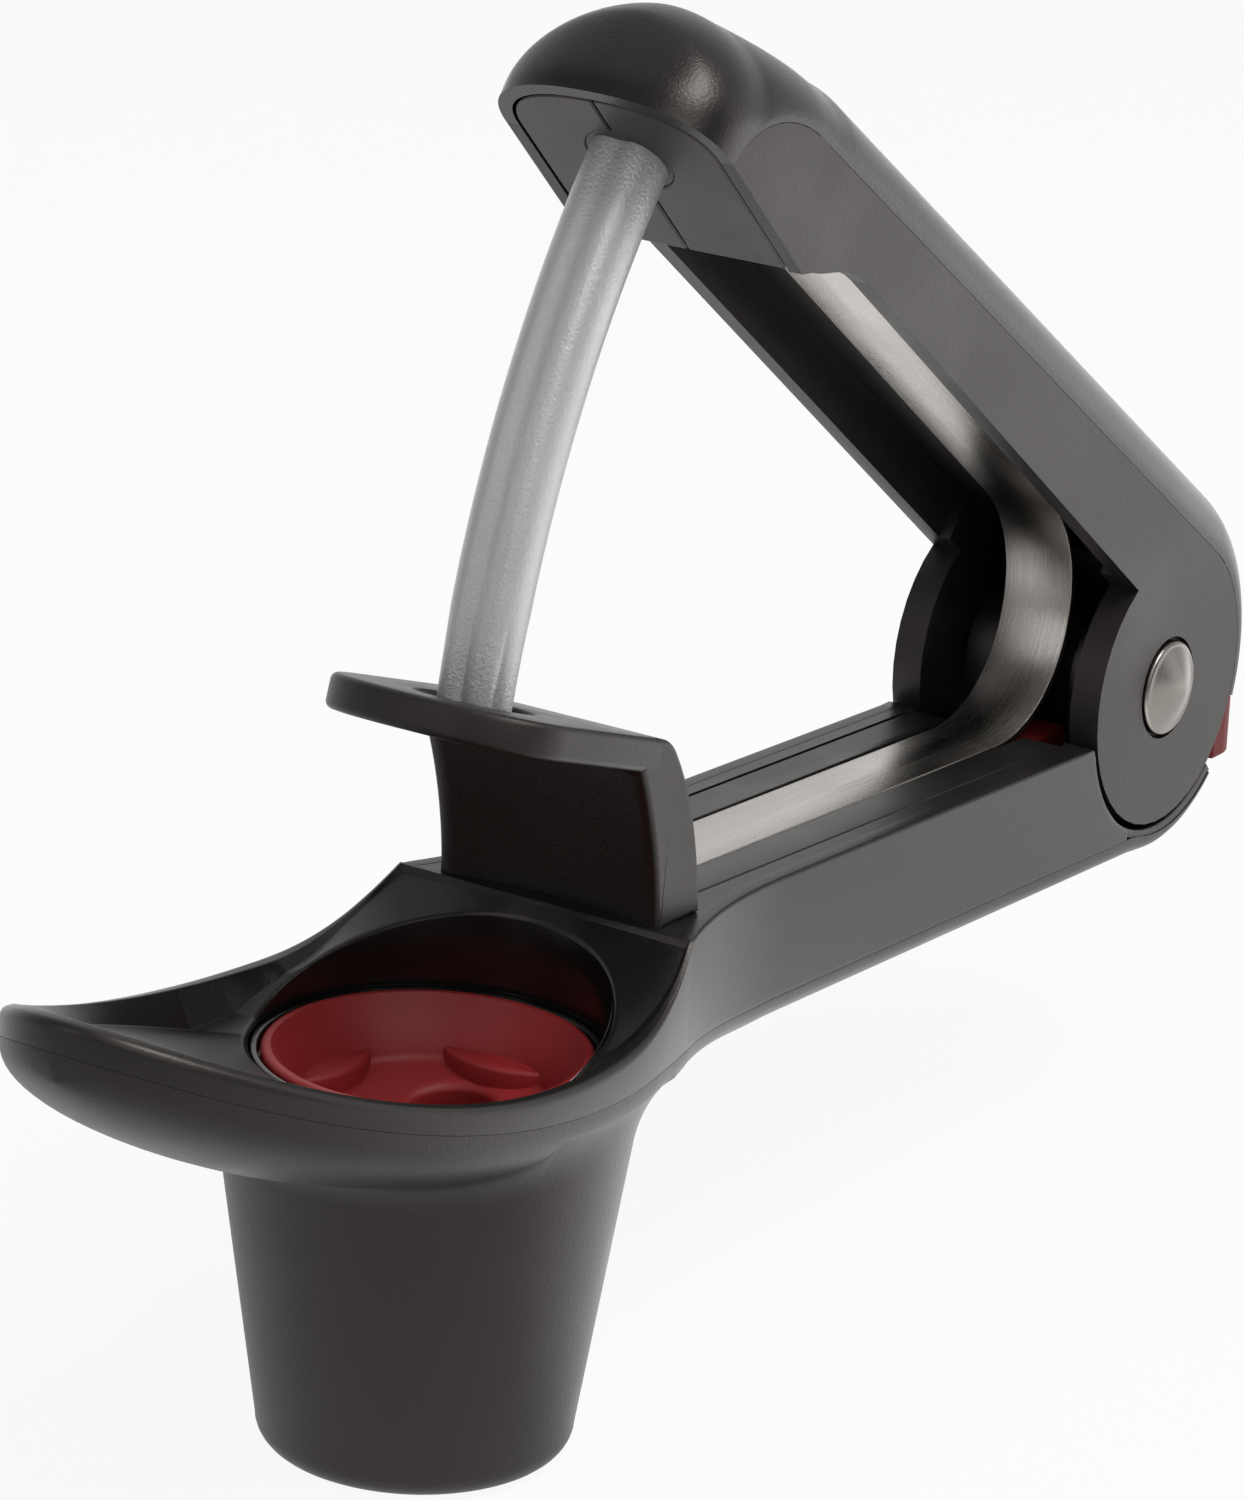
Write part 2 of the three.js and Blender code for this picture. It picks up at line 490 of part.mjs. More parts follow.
// a plate standing on the head's plane between offsets n0 and n1, in lever coordinates
function headPlateSolid(shape, n0, n1, segments = 24) {
  const body = new THREE.ExtrudeGeometry(shape, { depth: n1 - n0, bevelEnabled: false, curveSegments: segments });
  body.translate(0, 0, n0).rotateZ(Math.PI).rotateY(HEAD.tilt * DEG);
  return toManifold(body.translate(-HEAD.back, 0, HEAD.backT));
}

function makeGuard() {
  const a = -(LEVER_OPEN - CLOSING) * DEG;
  const plateTop = -GUARD.stand;
  const raw = headPlateSolid(headOutline(0), plateTop - GUARD.plate, plateTop, 20);
  const place = (solid) => solid.rotate([0, -a / DEG, 0]).translate([HINGE.x, 0, HINGE.z]);
  const plate = place(raw);
  const backTop = leverToCup(headPoint(0, plateTop), CLOSING);
  const backLow = leverToCup(headPoint(GUARD.wallTop, plateTop - GUARD.plate), CLOSING);
  const seat = armTopZ(TRAY.ridge) + GAP;
  const wallFront = TRAY.ridge + 0.5;
  const profile = new THREE.Shape();
  profile.moveTo(wallFront, seat);
  profile.lineTo(wallFront + GUARD.wallBase, seat);
  profile.quadraticCurveTo(wallFront + GUARD.wallBase - 0.6, (seat + backTop[1]) / 2 + 2, backTop[0], backTop[1]);
  profile.lineTo(backLow[0], backLow[1] + 1.2);
  profile.lineTo(backLow[0], backLow[1]);
  profile.quadraticCurveTo(wallFront - 0.2, (seat + backLow[1]) / 2, wallFront, seat);
  const wall = slab(profile, -ARM_HALF, ARM_HALF, 8);
  const reach = (ARM_HALF - 1.4) ** 2 / (2 * GUARD.hollow) + GUARD.hollow / 2;
  const hollow = upright(reach, seat - 1, backLow[1] - 0.1, wallFront + GUARD.hollow - reach - 0.7, 0, 128);
  const [slotX, slotZ] = rodPoint(rodAngleAtPlate());
  const slot = upright(GUARD.slot, slotZ - 9, slotZ + 9, slotX, 0, 40);
  const holes = guardScrewPlaces.map(([x, y]) => upright(SCREW.radius + GAP, seat - 1, seat + 9, x, y));
  return cut(union(plate, cut(wall, hollow)), slot, ...holes);
}

// a point of the rod's centre line in the cup frame, angle in degrees above the hinge
const rodPoint = (angle) => [HINGE.x - ROD.path * Math.cos(angle * DEG), HINGE.z + ROD.path * Math.sin(angle * DEG)];

// the angle at which the rod's path meets the plate's upper face
function rodAngleAtPlate() {
  const [bx, bz] = leverToCup(headPoint(0, -GUARD.stand), CLOSING);
  const [fx, fz] = leverToCup(headPoint(10, -GUARD.stand), CLOSING);
  let best = 0;
  for (let angle = 0; angle < 30; angle += 0.05) {
    const [x, z] = rodPoint(angle);
    const side = (fx - bx) * (z - bz) - (fz - bz) * (x - bx);
    if (side > 0) best = angle;
  }
  return best;
}

function leafPath() {
  const lower = (x) => armTopZ(x) - 0.15;
  const dir0 = -Math.atan(ARM_TOP.slope);
  const dir1 = Math.PI - LEVER_OPEN * DEG;
  const start = [LEAF.bendStart, lower(LEAF.bendStart)];
  const centre = [start[0] - LEAF.bendRadius * Math.sin(dir0), start[1] + LEAF.bendRadius * Math.cos(dir0)];
  const path = [[LEAF.start, lower(LEAF.start)]];
  const steps = 18;
  for (let i = 0; i <= steps; i += 1) {
    const a = dir0 + ((dir1 - dir0) * i) / steps - Math.PI / 2;
    path.push([centre[0] + LEAF.bendRadius * Math.cos(a), centre[1] + LEAF.bendRadius * Math.sin(a)]);
  }
  const end = path[path.length - 1];
  const hingeS = (HINGE.x - end[0]) * Math.cos(LEVER_OPEN * DEG) + (end[1] - HINGE.z) * Math.sin(LEVER_OPEN * DEG);
  const run = HEAD.back - HEAD.mouth - LEAF.endGap - hingeS;
  path.push([end[0] + run * Math.cos(dir1), end[1] + run * Math.sin(dir1)]);
  return path;
}

// a strip of even thickness that hangs below, or outside, the given path
function makeLeaf() {
  const path = leafPath();
  const outer = path.map((p, i) => {
    const a = path[Math.max(0, i - 1)];
    const b = path[Math.min(path.length - 1, i + 1)];
    const length = Math.hypot(b[0] - a[0], b[1] - a[1]);
    return [p[0] + (LEAF.thick * (b[1] - a[1])) / length, p[1] - (LEAF.thick * (b[0] - a[0])) / length];
  });
  const strip = slab([...path, ...outer.reverse()], -LEAF.half, LEAF.half);
  const holes = rivetPlaces.map((x) => upright(SCREW.radius + GAP, -5, 15, x, 0));
  return cut(strip, ...holes);
}

const rivetPlaces = [34.6, 40.2];

function makeBed() {
  const side = CHANNEL.half - GAP;
  const from = CHANNEL.start + GAP;
  const top = (x) => armTopZ(x) - 0.05;
  const body = slab([[from, top(from) - BED.depth], [CHANNEL.end, top(CHANNEL.end) - BED.depth],
    [CHANNEL.end, top(CHANNEL.end)], [from, top(from)]], -side, side);
  const groove = slab([[from + 0.6, top(from) - BED.grooveDepth - 0.1],
    [CHANNEL.end + 1, top(CHANNEL.end) - BED.grooveDepth - 0.1], [CHANNEL.end + 1, 20], [from + 0.6, 20]],
  -LEAF.half - GAP, LEAF.half + GAP);
  const legs = range(CHANNEL.start + 20, CHANNEL.end - 24, 16).map((x) => block(x, x + 2, -side, side, CHANNEL.floor + GAP, top(x) - BED.depth + 0.2));
  const notch = block(LATCH.tongueFront - LATCH.travel - 1.2, CHANNEL.end + 1, -LATCH.tongueHalf - 0.4,
    LATCH.tongueHalf + 0.4, -9, 20);
  const holes = rivetPlaces.map((x) => upright(SCREW.radius + GAP, -5, 15, x, 0));
  return cut(union(body, ...legs), groove, notch, ...holes);
}

function makeRivet(x) {
  const top = armTopZ(x) - 0.15;
  return union(upright(2.4, top + GAP, top + 1.0, x, 0), upright(SCREW.radius, top - BED.depth - 0.6, top + 0.6, x, 0),
    upright(2.4, top - BED.depth - 1.2, top - BED.depth - GAP, x, 0));
}

// ---------------------------------------------------------------- lever pieces, in lever coordinates
const leverPoint = ([s, t]) => [-s, t];

// the panel's front edge under the grip: a cubic from the lip's straight end up to the shoulder
function frontEdge() {
  const [frontS, frontT] = headPoint(HEAD.side, 0);
  return [[frontS, frontT], [frontS - 1.0, frontT + 5.5], [frontS - 6.5, leverTop(HEAD.shoulder) - 0.4],
    [HEAD.shoulder + 4, leverTop(HEAD.shoulder) - 0.1]];
}

// height of that edge over the lever's axis at s
function edgeHeight(s) {
  const p = frontEdge();
  const at = (i, t) => p[0][i] * (1 - t) ** 3 + 3 * p[1][i] * t * (1 - t) ** 2 + 3 * p[2][i] * t * t * (1 - t) + p[3][i] * t ** 3;
  if (s <= p[3][0]) return leverTop(s);
  for (let t = 1; t > 0; t -= 0.01) if (at(0, t) >= s) return at(1, t);
  return p[0][1];
}

function panelOutline() {
  const [backS, backT] = [HEAD.back, HEAD.backT];
  const [frontS, frontT] = headPoint(HEAD.side, 0);
  const shape = new THREE.Shape();
  const under = LEVER.under;
  const start = Math.PI - Math.asin(under / CHEEK.radius);
  shape.moveTo(CHEEK.radius * Math.cos(start), under);
  shape.lineTo(-LEVER.notch, under);
  shape.bezierCurveTo(-LEVER.notch - 5, under, -LEVER.notch - 8, 2.4, -backS + 1.6, backT + 1.0);
  shape.lineTo(-backS, backT);
  shape.lineTo(-frontS, frontT);
  const [, low, high, end] = frontEdge();
  shape.bezierCurveTo(-low[0], low[1], -high[0], high[1], -end[0], end[1]);
  shape.lineTo(-HEAD.shoulder, leverTop(HEAD.shoulder));
  shape.lineTo(0, CHEEK.knee);
  const steps = 32;
  const sweep = start - Math.PI / 2 - 2 * Math.PI;
  for (let i = 1; i < steps; i += 1) {
    const a = Math.PI / 2 + (sweep * i) / steps;
    const bulge = CHEEK.knee - CHEEK.radius;
    const r = CHEEK.radius + bulge * (1 - ease(-a, -Math.PI / 2, 0));
    shape.lineTo(r * Math.cos(a), r * Math.sin(a));
  }
  return shape;
}

const localSector = (r0, r1, from, to) => sector(r0, r1, from + LEVER_OPEN, to + LEVER_OPEN, 0, 0);

// the rod's root as an angle above the lever's axis, and the socket it stands in
const rootAngle = 1.9;
const rootPlace = [-ROD.path * Math.cos(rootAngle * DEG), ROD.path * Math.sin(rootAngle * DEG)];
const rodSocket = (low, high) => upright(ROD.radius + 2 * GAP, low, high, 0, 0, 32)
  .rotate([0, -rootAngle, 0]).translate([rootPlace[0], 0, rootPlace[1]]);
const rodPinHole = () => crossPin(1.2 + GAP, -8 - GAP, 8 + GAP, rootPlace[0] + 0.1, rootPlace[1] + 3.4, 16);

function makeLeverFrame() {
  const panel = slab(panelOutline(), -ARM_HALF, ARM_HALF, 8);
  const inside = ARM_HALF - LEVER.wall;
  const channel = block(-HEAD.back + HEAD.mouth, -18, -inside, inside, -12, LEVER.ceiling);
  const hub = slab(circle(LOCK.inner), -CHEEK.inner, CHEEK.inner, 24);
  const mouth = slab([[-22, -20], [0, -20], [0, LEVER.ceiling], [-22, LEVER.ceiling]], -CHEEK.inner, CHEEK.inner);
  const belly = slab(localSector(0, 40, -165, LOCK.kneeEnd), -CHEEK.inner, CHEEK.inner, 24);
  const teeth = bothSides((side) => slab(localSector(LOCK.inner, CHEEK.radius - 0.2, LOCK.from, LOCK.to),
    side > 0 ? LOCK.reach : -CHEEK.inner - 0.2, side > 0 ? CHEEK.inner + 0.2 : -LOCK.reach, 4));
  const plateBay = headPlateSolid(headOutline(HEAD.rim, -6), -6, HEAD.plate + GAP, 16);
  const pinBore = crossPin(PIN.radius + GAP, -20, 20, 0, 0);
  const recess = bothSides((side) => crossPin(PIN.recess, side > 0 ? ARM_HALF - PIN.recessDepth : -20,
    side > 0 ? 20 : -ARM_HALF + PIN.recessDepth, 0, 0));
  return cut(union(cut(panel, channel, hub, mouth, belly), teeth), plateBay, pinBore, recess,
    rodSocket(-4, ROD.root + GAP), rodPinHole());
}


// the soft grip's crown over the panel's top line, then over the head down to the lip
const roundOff = (rho) => Math.max(0, 1 - rho ** 1.83) ** (1 / 1.9);
const crownShape = (rho) => LEVER.crown * roundOff(rho);

function makeGrip() {
  const steps = 10;
  const tipU = HEAD.side + HEAD.nose;
  const straight = (s) => {
    const low = leverTop(s) + GAP;
    const arch = range(0, 180, 180 / steps).map((turn) => {
      const c = Math.cos(turn * DEG);
      return [-s, ARM_HALF * c, low + 0.3 + crownShape(Math.abs(c))];
    });
    return [[-s, -ARM_HALF, low], [-s, ARM_HALF, low], ...arch];
  };
  const fallFrom = leverTop(headPoint(HEAD.fallStart, 0)[0]) - headPoint(HEAD.fallStart, 0)[1];
  const head = (u) => {
    const [s, under] = headPoint(u, 0);
    const half = Math.max(0.7, headHalf(u));
    const fall = clamp01((u - HEAD.fallStart) / (tipU - HEAD.fallStart)) ** HEAD.fallPower;
    const front = Math.max(0, (u - HEAD.side) / HEAD.nose);
    const wall = HEAD.tipWall + (fallFrom - HEAD.tipWall) * (1 - fall) - (HEAD.tipWall - HEAD.lip) * ease(front, 0.6, 1);
    const ridge = under + wall + 0.05 + crownShape(Math.min(1, front));
    const foot = Math.min(ridge - 0.05, Math.max(edgeHeight(s) + GAP, under + HEAD.lip));
    const arch = range(0, 180, 180 / steps).map((turn) => {
      const c = Math.cos(turn * DEG);
      return [-s, half * c, foot + 0.02 + (ridge - foot) * roundOff(Math.abs(c))];
    });
    return [[-s, -half, under], [-s, half, under], ...arch];
  };
  const knee = range(3, LEVER.kneeEnd, 7.5).map((turn) => {
    const a = (90 - turn) * DEG;
    const dir = [Math.cos(a), Math.sin(a)];
    const thin = 1 - 0.6 * smooth(clamp01(turn / LEVER.kneeEnd));
    const base = CHEEK.radius + (CHEEK.knee - CHEEK.radius) * (1 - ease(-a, -Math.PI / 2, 0)) + GAP;
    const arch = range(0, 180, 180 / steps).map((sweep) => {
      const c = Math.cos(sweep * DEG);
      const r = base + 0.3 + thin * crownShape(Math.abs(c));
      return [r * dir[0], ARM_HALF * c, r * dir[1]];
    });
    return [[base * dir[0], -ARM_HALF, base * dir[1]], [base * dir[0], ARM_HALF, base * dir[1]], ...arch];
  }).reverse();
  const back = range(0, HEAD.back + HEAD.fallStart * headDir.s - 0.4, 12).map(straight);
  const front = [...range(HEAD.fallStart, HEAD.side, 2.4), ...range(HEAD.side + 0.9, tipU - 1.8, 1.1),
    tipU - 0.8, tipU - 0.2].map(head);
  const body = loft([...knee, ...back, ...front]);
  const core = slab(panelOutline(), -ARM_HALF - 1, ARM_HALF + 1, 8);
  const coreGap = [[0.3, 0.3], [0.3, 0], [0, 0.3], [-0.3, 0.3]].map(([x, z]) => core.translate([x, 0, z]));
  const bay = headPlateSolid(headOutline(HEAD.rim), -4, HEAD.plate + GAP, 20);
  return cut(body, core, ...coreGap, bay, rodSocket(-4, ROD.root + GAP), rodPinHole());
}

function makeHeadPlates() {
  const plate = headPlateSolid(headOutline(HEAD.rim + GAP, 0.4), 0, HEAD.plate, 20);
  const ring = cut(plate, rodSocket(-12, 12));
  const split = GAP / 2;
  return {
    left: ring.intersect(block(-200, 0, split, 40, -40, 40)),
    right: ring.intersect(block(-200, 0, -40, -split, -40, 40)),
  };
}

function makeRod() {
  const tipAngle = ROD.tip - LEVER_OPEN;
  const steps = 14;
  const around = 36;
  // a shallow groove down the front and the back, and short flutes that fade out above the tip
  const section = (taper, rise) => Array.from({ length: around }, (_, i) => {
    const a = (i * 2 * Math.PI) / around - Math.PI;
    const groove = Math.abs(Math.cos(a - ROD.grooveTurn * DEG)) ** 10;
    const flute = (1 - Math.abs(Math.sin((ROD.fluteCount / 2) * (a - ROD.grooveTurn * DEG)))) ** 2;
    const r = (ROD.radius - ROD.groove * groove - ROD.flute * flute * Math.max(0, 1 - rise / ROD.fluteRun)) * taper;
    return [r * Math.cos(a), r * Math.sin(a)];
  });
  const rings = Array.from({ length: steps + 1 }, (_, i) => {
    const angle = (tipAngle + ((rootAngle + 2.4 - tipAngle) * i) / steps) * DEG;
    const taper = i === 0 ? 0.86 : 0.93 + 0.07 * (i / steps);
    return section(taper, angle / DEG - tipAngle).map(([u, v]) => {
      const r = ROD.path + u;
      return [-r * Math.cos(angle), v, r * Math.sin(angle)];
    });
  });
  const rod = loft(rings);
  return cut(rod, rodPinHole());
}

function makeDomePin(side, length) {
  const face = ARM_HALF - PIN.recessDepth + GAP;
  const profile = [[0, face], [PIN.headRadius, face]];
  for (let i = 1; i <= 6; i += 1) {
    const a = (i * Math.PI) / 12;
    profile.push([PIN.headRadius * Math.cos(a), face + 0.6 + (PIN.headRise + 0.4) * Math.sin(a)]);
  }
  profile[profile.length - 1][0] = 0;
  const head = toManifold(new THREE.LatheGeometry(profile.map((p) => new THREE.Vector2(...p)), 40));
  const shaft = toManifold(new THREE.CylinderGeometry(length.radius, length.radius, length.to - length.from, 32)
    .translate(0, (length.to + length.from) / 2, 0));
  const pin = union(head, shaft);
  return side > 0 ? pin : pin.rotate([180, 0, 0]);
}

// ---------------------------------------------------------------- latch
function makeLatch() {
  const low = LATCH.top - LATCH.thick;
  const front = LATCH.tongueFront;
  const plate = block(LATCH.front, LATCH.tabFront + 1, -LATCH.half, LATCH.half, low, LATCH.top);
  const tabShape = new THREE.Shape();
  const r = 1.6;
  const [x0, x1] = [LATCH.tabFront, LATCH.tabFront + LATCH.tabLength];
  tabShape.moveTo(x0, -LATCH.half);
  tabShape.lineTo(x1 - 3.5, -LATCH.half);
  tabShape.quadraticCurveTo(x1, -LATCH.half, x1, -LATCH.half + 4.5);
  tabShape.lineTo(x1, LATCH.half - 4.5);
  tabShape.quadraticCurveTo(x1, LATCH.half, x1 - 3.5, LATCH.half);
  tabShape.lineTo(x0, LATCH.half);
  const tab = post(tabShape, LATCH.tabLow, LATCH.tabHigh, 8);
  const tongue = block(front, LATCH.front + 1, -LATCH.tongueHalf, LATCH.tongueHalf, low, LATCH.top + LATCH.step);
  const nose = slab([[front, LATCH.top], [front + LATCH.block, LATCH.top], [front + LATCH.block, LATCH.blockTop],
    [front + r, LATCH.blockTop], [front, LATCH.blockTop - r]], -LATCH.tongueHalf, LATCH.tongueHalf);
  const slot = union(block(LATCH.screwX, LATCH.screwX + LATCH.travel, -SCREW.radius - GAP, SCREW.radius + GAP, -9, 9),
    upright(SCREW.radius + GAP, -9, 9, LATCH.screwX, 0), upright(SCREW.radius + GAP, -9, 9, LATCH.screwX + LATCH.travel, 0));
  return cut(union(plate, tab, tongue, nose), slot);
}

// ---------------------------------------------------------------- assembly
function mesh(name, solid, finish) {
  const body = new THREE.Mesh(toGeometry(solid), new THREE.MeshStandardMaterial(PALETTE[finish]));
  body.name = name;
  return body;
}

const lower = new THREE.Group();
lower.add(mesh('base_frame', makeBaseFrame(), 'plastic'));
lower.add(mesh('cup_shell', makeCupShell(), 'plastic'));
lower.add(mesh('guard_bracket', makeGuard(), 'plastic'));
lower.add(mesh('insert_cup', makeInsert(), 'silicone'));
lower.add(mesh('insert_ring', makeInsertRing(), 'plastic'));
lower.add(mesh('spring_bed', makeBed(), 'plastic'));
lower.add(mesh('leaf_spring', makeLeaf(), 'steel'));
rivetPlaces.forEach((x, i) => lower.add(mesh(`spring_rivet_${i + 1}`, makeRivet(x), 'steel')));
shellScrewPlaces.forEach(([x], i) => {
  const low = seamZ(x) - hullDepth(x);
  lower.add(mesh(`shell_screw_${i + 1}`, screw(x, 0, low + 0.8, seamZ(x) + 3.0), 'steel'));
});
guardScrewPlaces.forEach(([x, y], i) => {
  lower.add(mesh(`guard_screw_${i + 1}`, screw(x, y, seamZ(x) + GAP, armTopZ(x) + 7.5), 'steel'));
});
for (const [name, side] of [['left', 1], ['right', -1]]) {
  const [y0, y1] = side > 0 ? [LUGS.inner - 0.3, LUGS.outer] : [-LUGS.outer, -LUGS.inner + 0.3];
  const bush = cut(crossPin(PIN.radius + GAP + BUSH.wall, y0, y1, HINGE.x, HINGE.z),
    crossPin(PIN.radius + GAP, -20, 20, HINGE.x, HINGE.z));
  lower.add(mesh(`hinge_bush_${name}`, bush, 'nylon'));
}
lower.add(mesh('latch_screw', screw(LATCH.screwX, 0, LATCH.top + LATCH.step + GAP + SCREW.headThick, -5.2), 'steel'));
lower.add(mesh('latch_slider', makeLatch(), 'red'));

const lever = new THREE.Group();
lever.position.set(HINGE.x, 0, HINGE.z);
lever.rotation.y = LEVER_OPEN * DEG;
const plates = makeHeadPlates();
lever.add(mesh('lever_frame', makeLeverFrame(), 'plastic'));
lever.add(mesh('grip_shell', makeGrip(), 'soft'));
lever.add(mesh('head_plate_left', plates.left, 'plastic'));
lever.add(mesh('head_plate_right', plates.right, 'plastic'));
lever.add(mesh('pitting_rod', makeRod(), 'diecast'));
lever.add(mesh('rod_pin', crossPin(1.2, -8, 8, rootPlace[0] + 0.1, rootPlace[1] + 3.4, 16), 'steel'));
lever.add(mesh('hinge_pin', makeDomePin(-1, { radius: PIN.radius, from: -4.5, to: ARM_HALF }), 'steel'));
lever.add(mesh('hinge_cap', makeDomePin(1, { radius: PIN.radius, from: 4.8, to: ARM_HALF }), 'steel'));
for (const [name, side] of [['left', 1], ['right', -1]]) {
  const y0 = side > 0 ? LUGS.outer + GAP : -LUGS.outer - GAP - WASHER.thick;
  const washer = cut(crossPin(WASHER.radius, y0, y0 + WASHER.thick, 0, 0), crossPin(PIN.radius + GAP, -20, 20, 0, 0));
  lever.add(mesh(`hinge_washer_${name}`, washer, 'nylon'));
}

// the origin is the middle of the object's footprint, at the height of the cup's foot
const rearEnd = LATCH.tabFront + LATCH.tabLength;
const pitter = new THREE.Group();
pitter.position.set(-(rearEnd + trayTip) / 2, 0, CUP.height);
pitter.add(lower, lever);
const object = new THREE.Group();
object.add(pitter);

export default object;
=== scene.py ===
"""A lever-type cherry and olive pitter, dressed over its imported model.

Sizes are millimetres in the cup frame: X runs back to the hinge, Z is the cup's axis and z = 0 is the rim of
the red insert. Layout.row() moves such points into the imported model's own frame, in metres.
"""
from __future__ import annotations

import logging
import math
from dataclasses import dataclass, field
from enum import Enum
from typing import Callable, Sequence

import bmesh
import bpy
import numpy as np
from mathutils import Matrix, Vector


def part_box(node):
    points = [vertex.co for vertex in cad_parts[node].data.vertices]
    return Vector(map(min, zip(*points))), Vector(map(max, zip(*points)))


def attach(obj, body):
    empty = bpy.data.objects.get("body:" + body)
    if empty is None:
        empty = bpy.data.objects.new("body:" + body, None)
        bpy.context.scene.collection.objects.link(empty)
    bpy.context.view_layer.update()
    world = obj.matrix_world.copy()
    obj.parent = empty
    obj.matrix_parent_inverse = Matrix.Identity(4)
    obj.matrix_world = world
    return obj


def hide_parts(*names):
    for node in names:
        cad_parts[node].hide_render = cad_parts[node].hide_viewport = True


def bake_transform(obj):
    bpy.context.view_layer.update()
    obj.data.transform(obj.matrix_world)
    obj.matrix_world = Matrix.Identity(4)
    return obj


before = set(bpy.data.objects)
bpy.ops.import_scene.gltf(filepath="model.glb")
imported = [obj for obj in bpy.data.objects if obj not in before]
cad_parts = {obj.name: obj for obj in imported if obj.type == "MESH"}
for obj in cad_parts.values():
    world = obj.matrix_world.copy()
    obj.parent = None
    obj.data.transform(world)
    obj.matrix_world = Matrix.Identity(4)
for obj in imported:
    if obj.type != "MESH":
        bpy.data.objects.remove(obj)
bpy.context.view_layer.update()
log = logging.getLogger("pitter")
Array = np.ndarray
Colour = tuple[float, float, float]


class Body(Enum):
    """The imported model's rigid bodies."""

    BASE = "base"
    LEVER = "lever"
    LATCH = "latch"


class Slot(Enum):
    """The record's material slots."""

    UPPER = "upper_moulding"
    LOWER = "lower_moulding"
    GUARD = "guard"
    SILICONE = "silicone"
    GLOSS = "gloss_black"
    BED = "bed"
    SPRING = "spring_steel"
    FASTENERS = "fasteners"
    NYLON = "nylon"
    RED = "red_plastic"
    LEVER = "lever_moulding"
    GRIP = "soft_grip"
    DIECAST = "die_cast"
    RIVET = "rivet_steel"


# ---------------------------------------------------------------------------------------- layout
@dataclass(frozen=True)
class Layout:
    """The sizes that several pieces share."""

    cup_height: float = 41.8
    tray_tip: float = -58.8
    hinge_x: float = 123.8
    hinge_z: float = 10.3
    lever_open: float = 36.6
    closing: float = 26.1
    arm_half: float = 13.3

    def row(self, points: Array) -> Array:
        """Cup-frame millimetres into row-frame metres: moved by the tray's tip and the cup's foot, scaled."""
        shift = np.array([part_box("base_frame")[0].x * 1000 - self.tray_tip, 0.0, self.cup_height])
        return (np.asarray(points, float) + shift) / 1000

    def lever(self, s: Array, y: Array, t: Array, closed: float = 0.0) -> Array:
        """Lever coordinates into the cup frame: s runs from the hinge to the head, t stands off the lever.

        x = hinge - s cos a + t sin a and z = hinge + s sin a + t cos a, with a the lever's slope.

        Args:
            s: distances from the hinge towards the head.
            y: distances across the lever.
            t: distances off the lever's line.
            closed: degrees by which the lever is closed.

        Returns:
            Points whose last axis is X, Y, Z.
        """
        a = math.radians(self.lever_open - closed)
        s, y, t = np.broadcast_arrays(np.asarray(s, float), np.asarray(y, float), np.asarray(t, float))
        return np.stack([self.hinge_x - s * math.cos(a) + t * math.sin(a), y,
                         self.hinge_z + s * math.sin(a) + t * math.cos(a)], axis=-1)


LAYOUT = Layout()
HALVINGS = 40  # how often an interval is halved to find a crossing
ARC_STEPS = 6  # the pieces in each rounded corner
SHARP_TURN = 38.0  # edges that turn by more degrees than this stay crisp
FACET_TURN = 32.0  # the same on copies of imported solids
FLAT_TURN = 0.6  # facets that turn by fewer degrees than this are joined
MERGE = 2e-6  # points nearer than this, in metres, become one
SIDE_NAMES = {-1: "right", 1: "left"}


@dataclass(frozen=True)
class HeadForm:
    """The lever head's underside, which the guard's plate lies under while the lever is closed."""

    back: float = 104.3
    back_t: float = 0.6
    tilt: float = 7.2
    side: float = 19.2
    nose: float = 9.0
    square: float = 2.35
    rod_path: float = 120.6

    @property
    def tip(self) -> float:
        """The nose's front end, as a distance from the back edge."""
        return self.side + self.nose

    def point(self, u: Array, off: Array | float = 0.0) -> tuple[Array, Array]:
        """A point of the underside's plane at u from its back edge, off standing from it, as (s, t)."""
        c, q = math.cos(math.radians(self.tilt)), math.sin(math.radians(self.tilt))
        return self.back + u * c - off * q, self.back_t + u * q + off * c

    def half_width(self, u: Array, border: float = 0.0) -> Array:
        """Half the head's width at u, drawn in by border: straight sides, then a superellipse at the nose."""
        inside = np.clip((np.asarray(u, float) - self.side) / (self.nose - border), 0, 1)
        return (LAYOUT.arm_half - border) * (1 - inside ** self.square) ** (1 / self.square)

    def rod_place(self, off: float = 0.0) -> float:
        """How far from the back edge the rod's arc crosses the plane that stands off from the underside."""
        u = np.linspace(0, 30, 3001)
        return float(u[np.argmin(np.abs(np.hypot(*self.point(u, off)) - self.rod_path))])


HEAD = HeadForm()


def ease(x: Array, low: float, high: float) -> Array:
    """A smooth step: 0 up to low, 1 from high, and 3t^2 - 2t^3 between them."""
    t = np.clip((np.asarray(x, float) - low) / (high - low), 0, 1)
    return t * t * (3 - 2 * t)


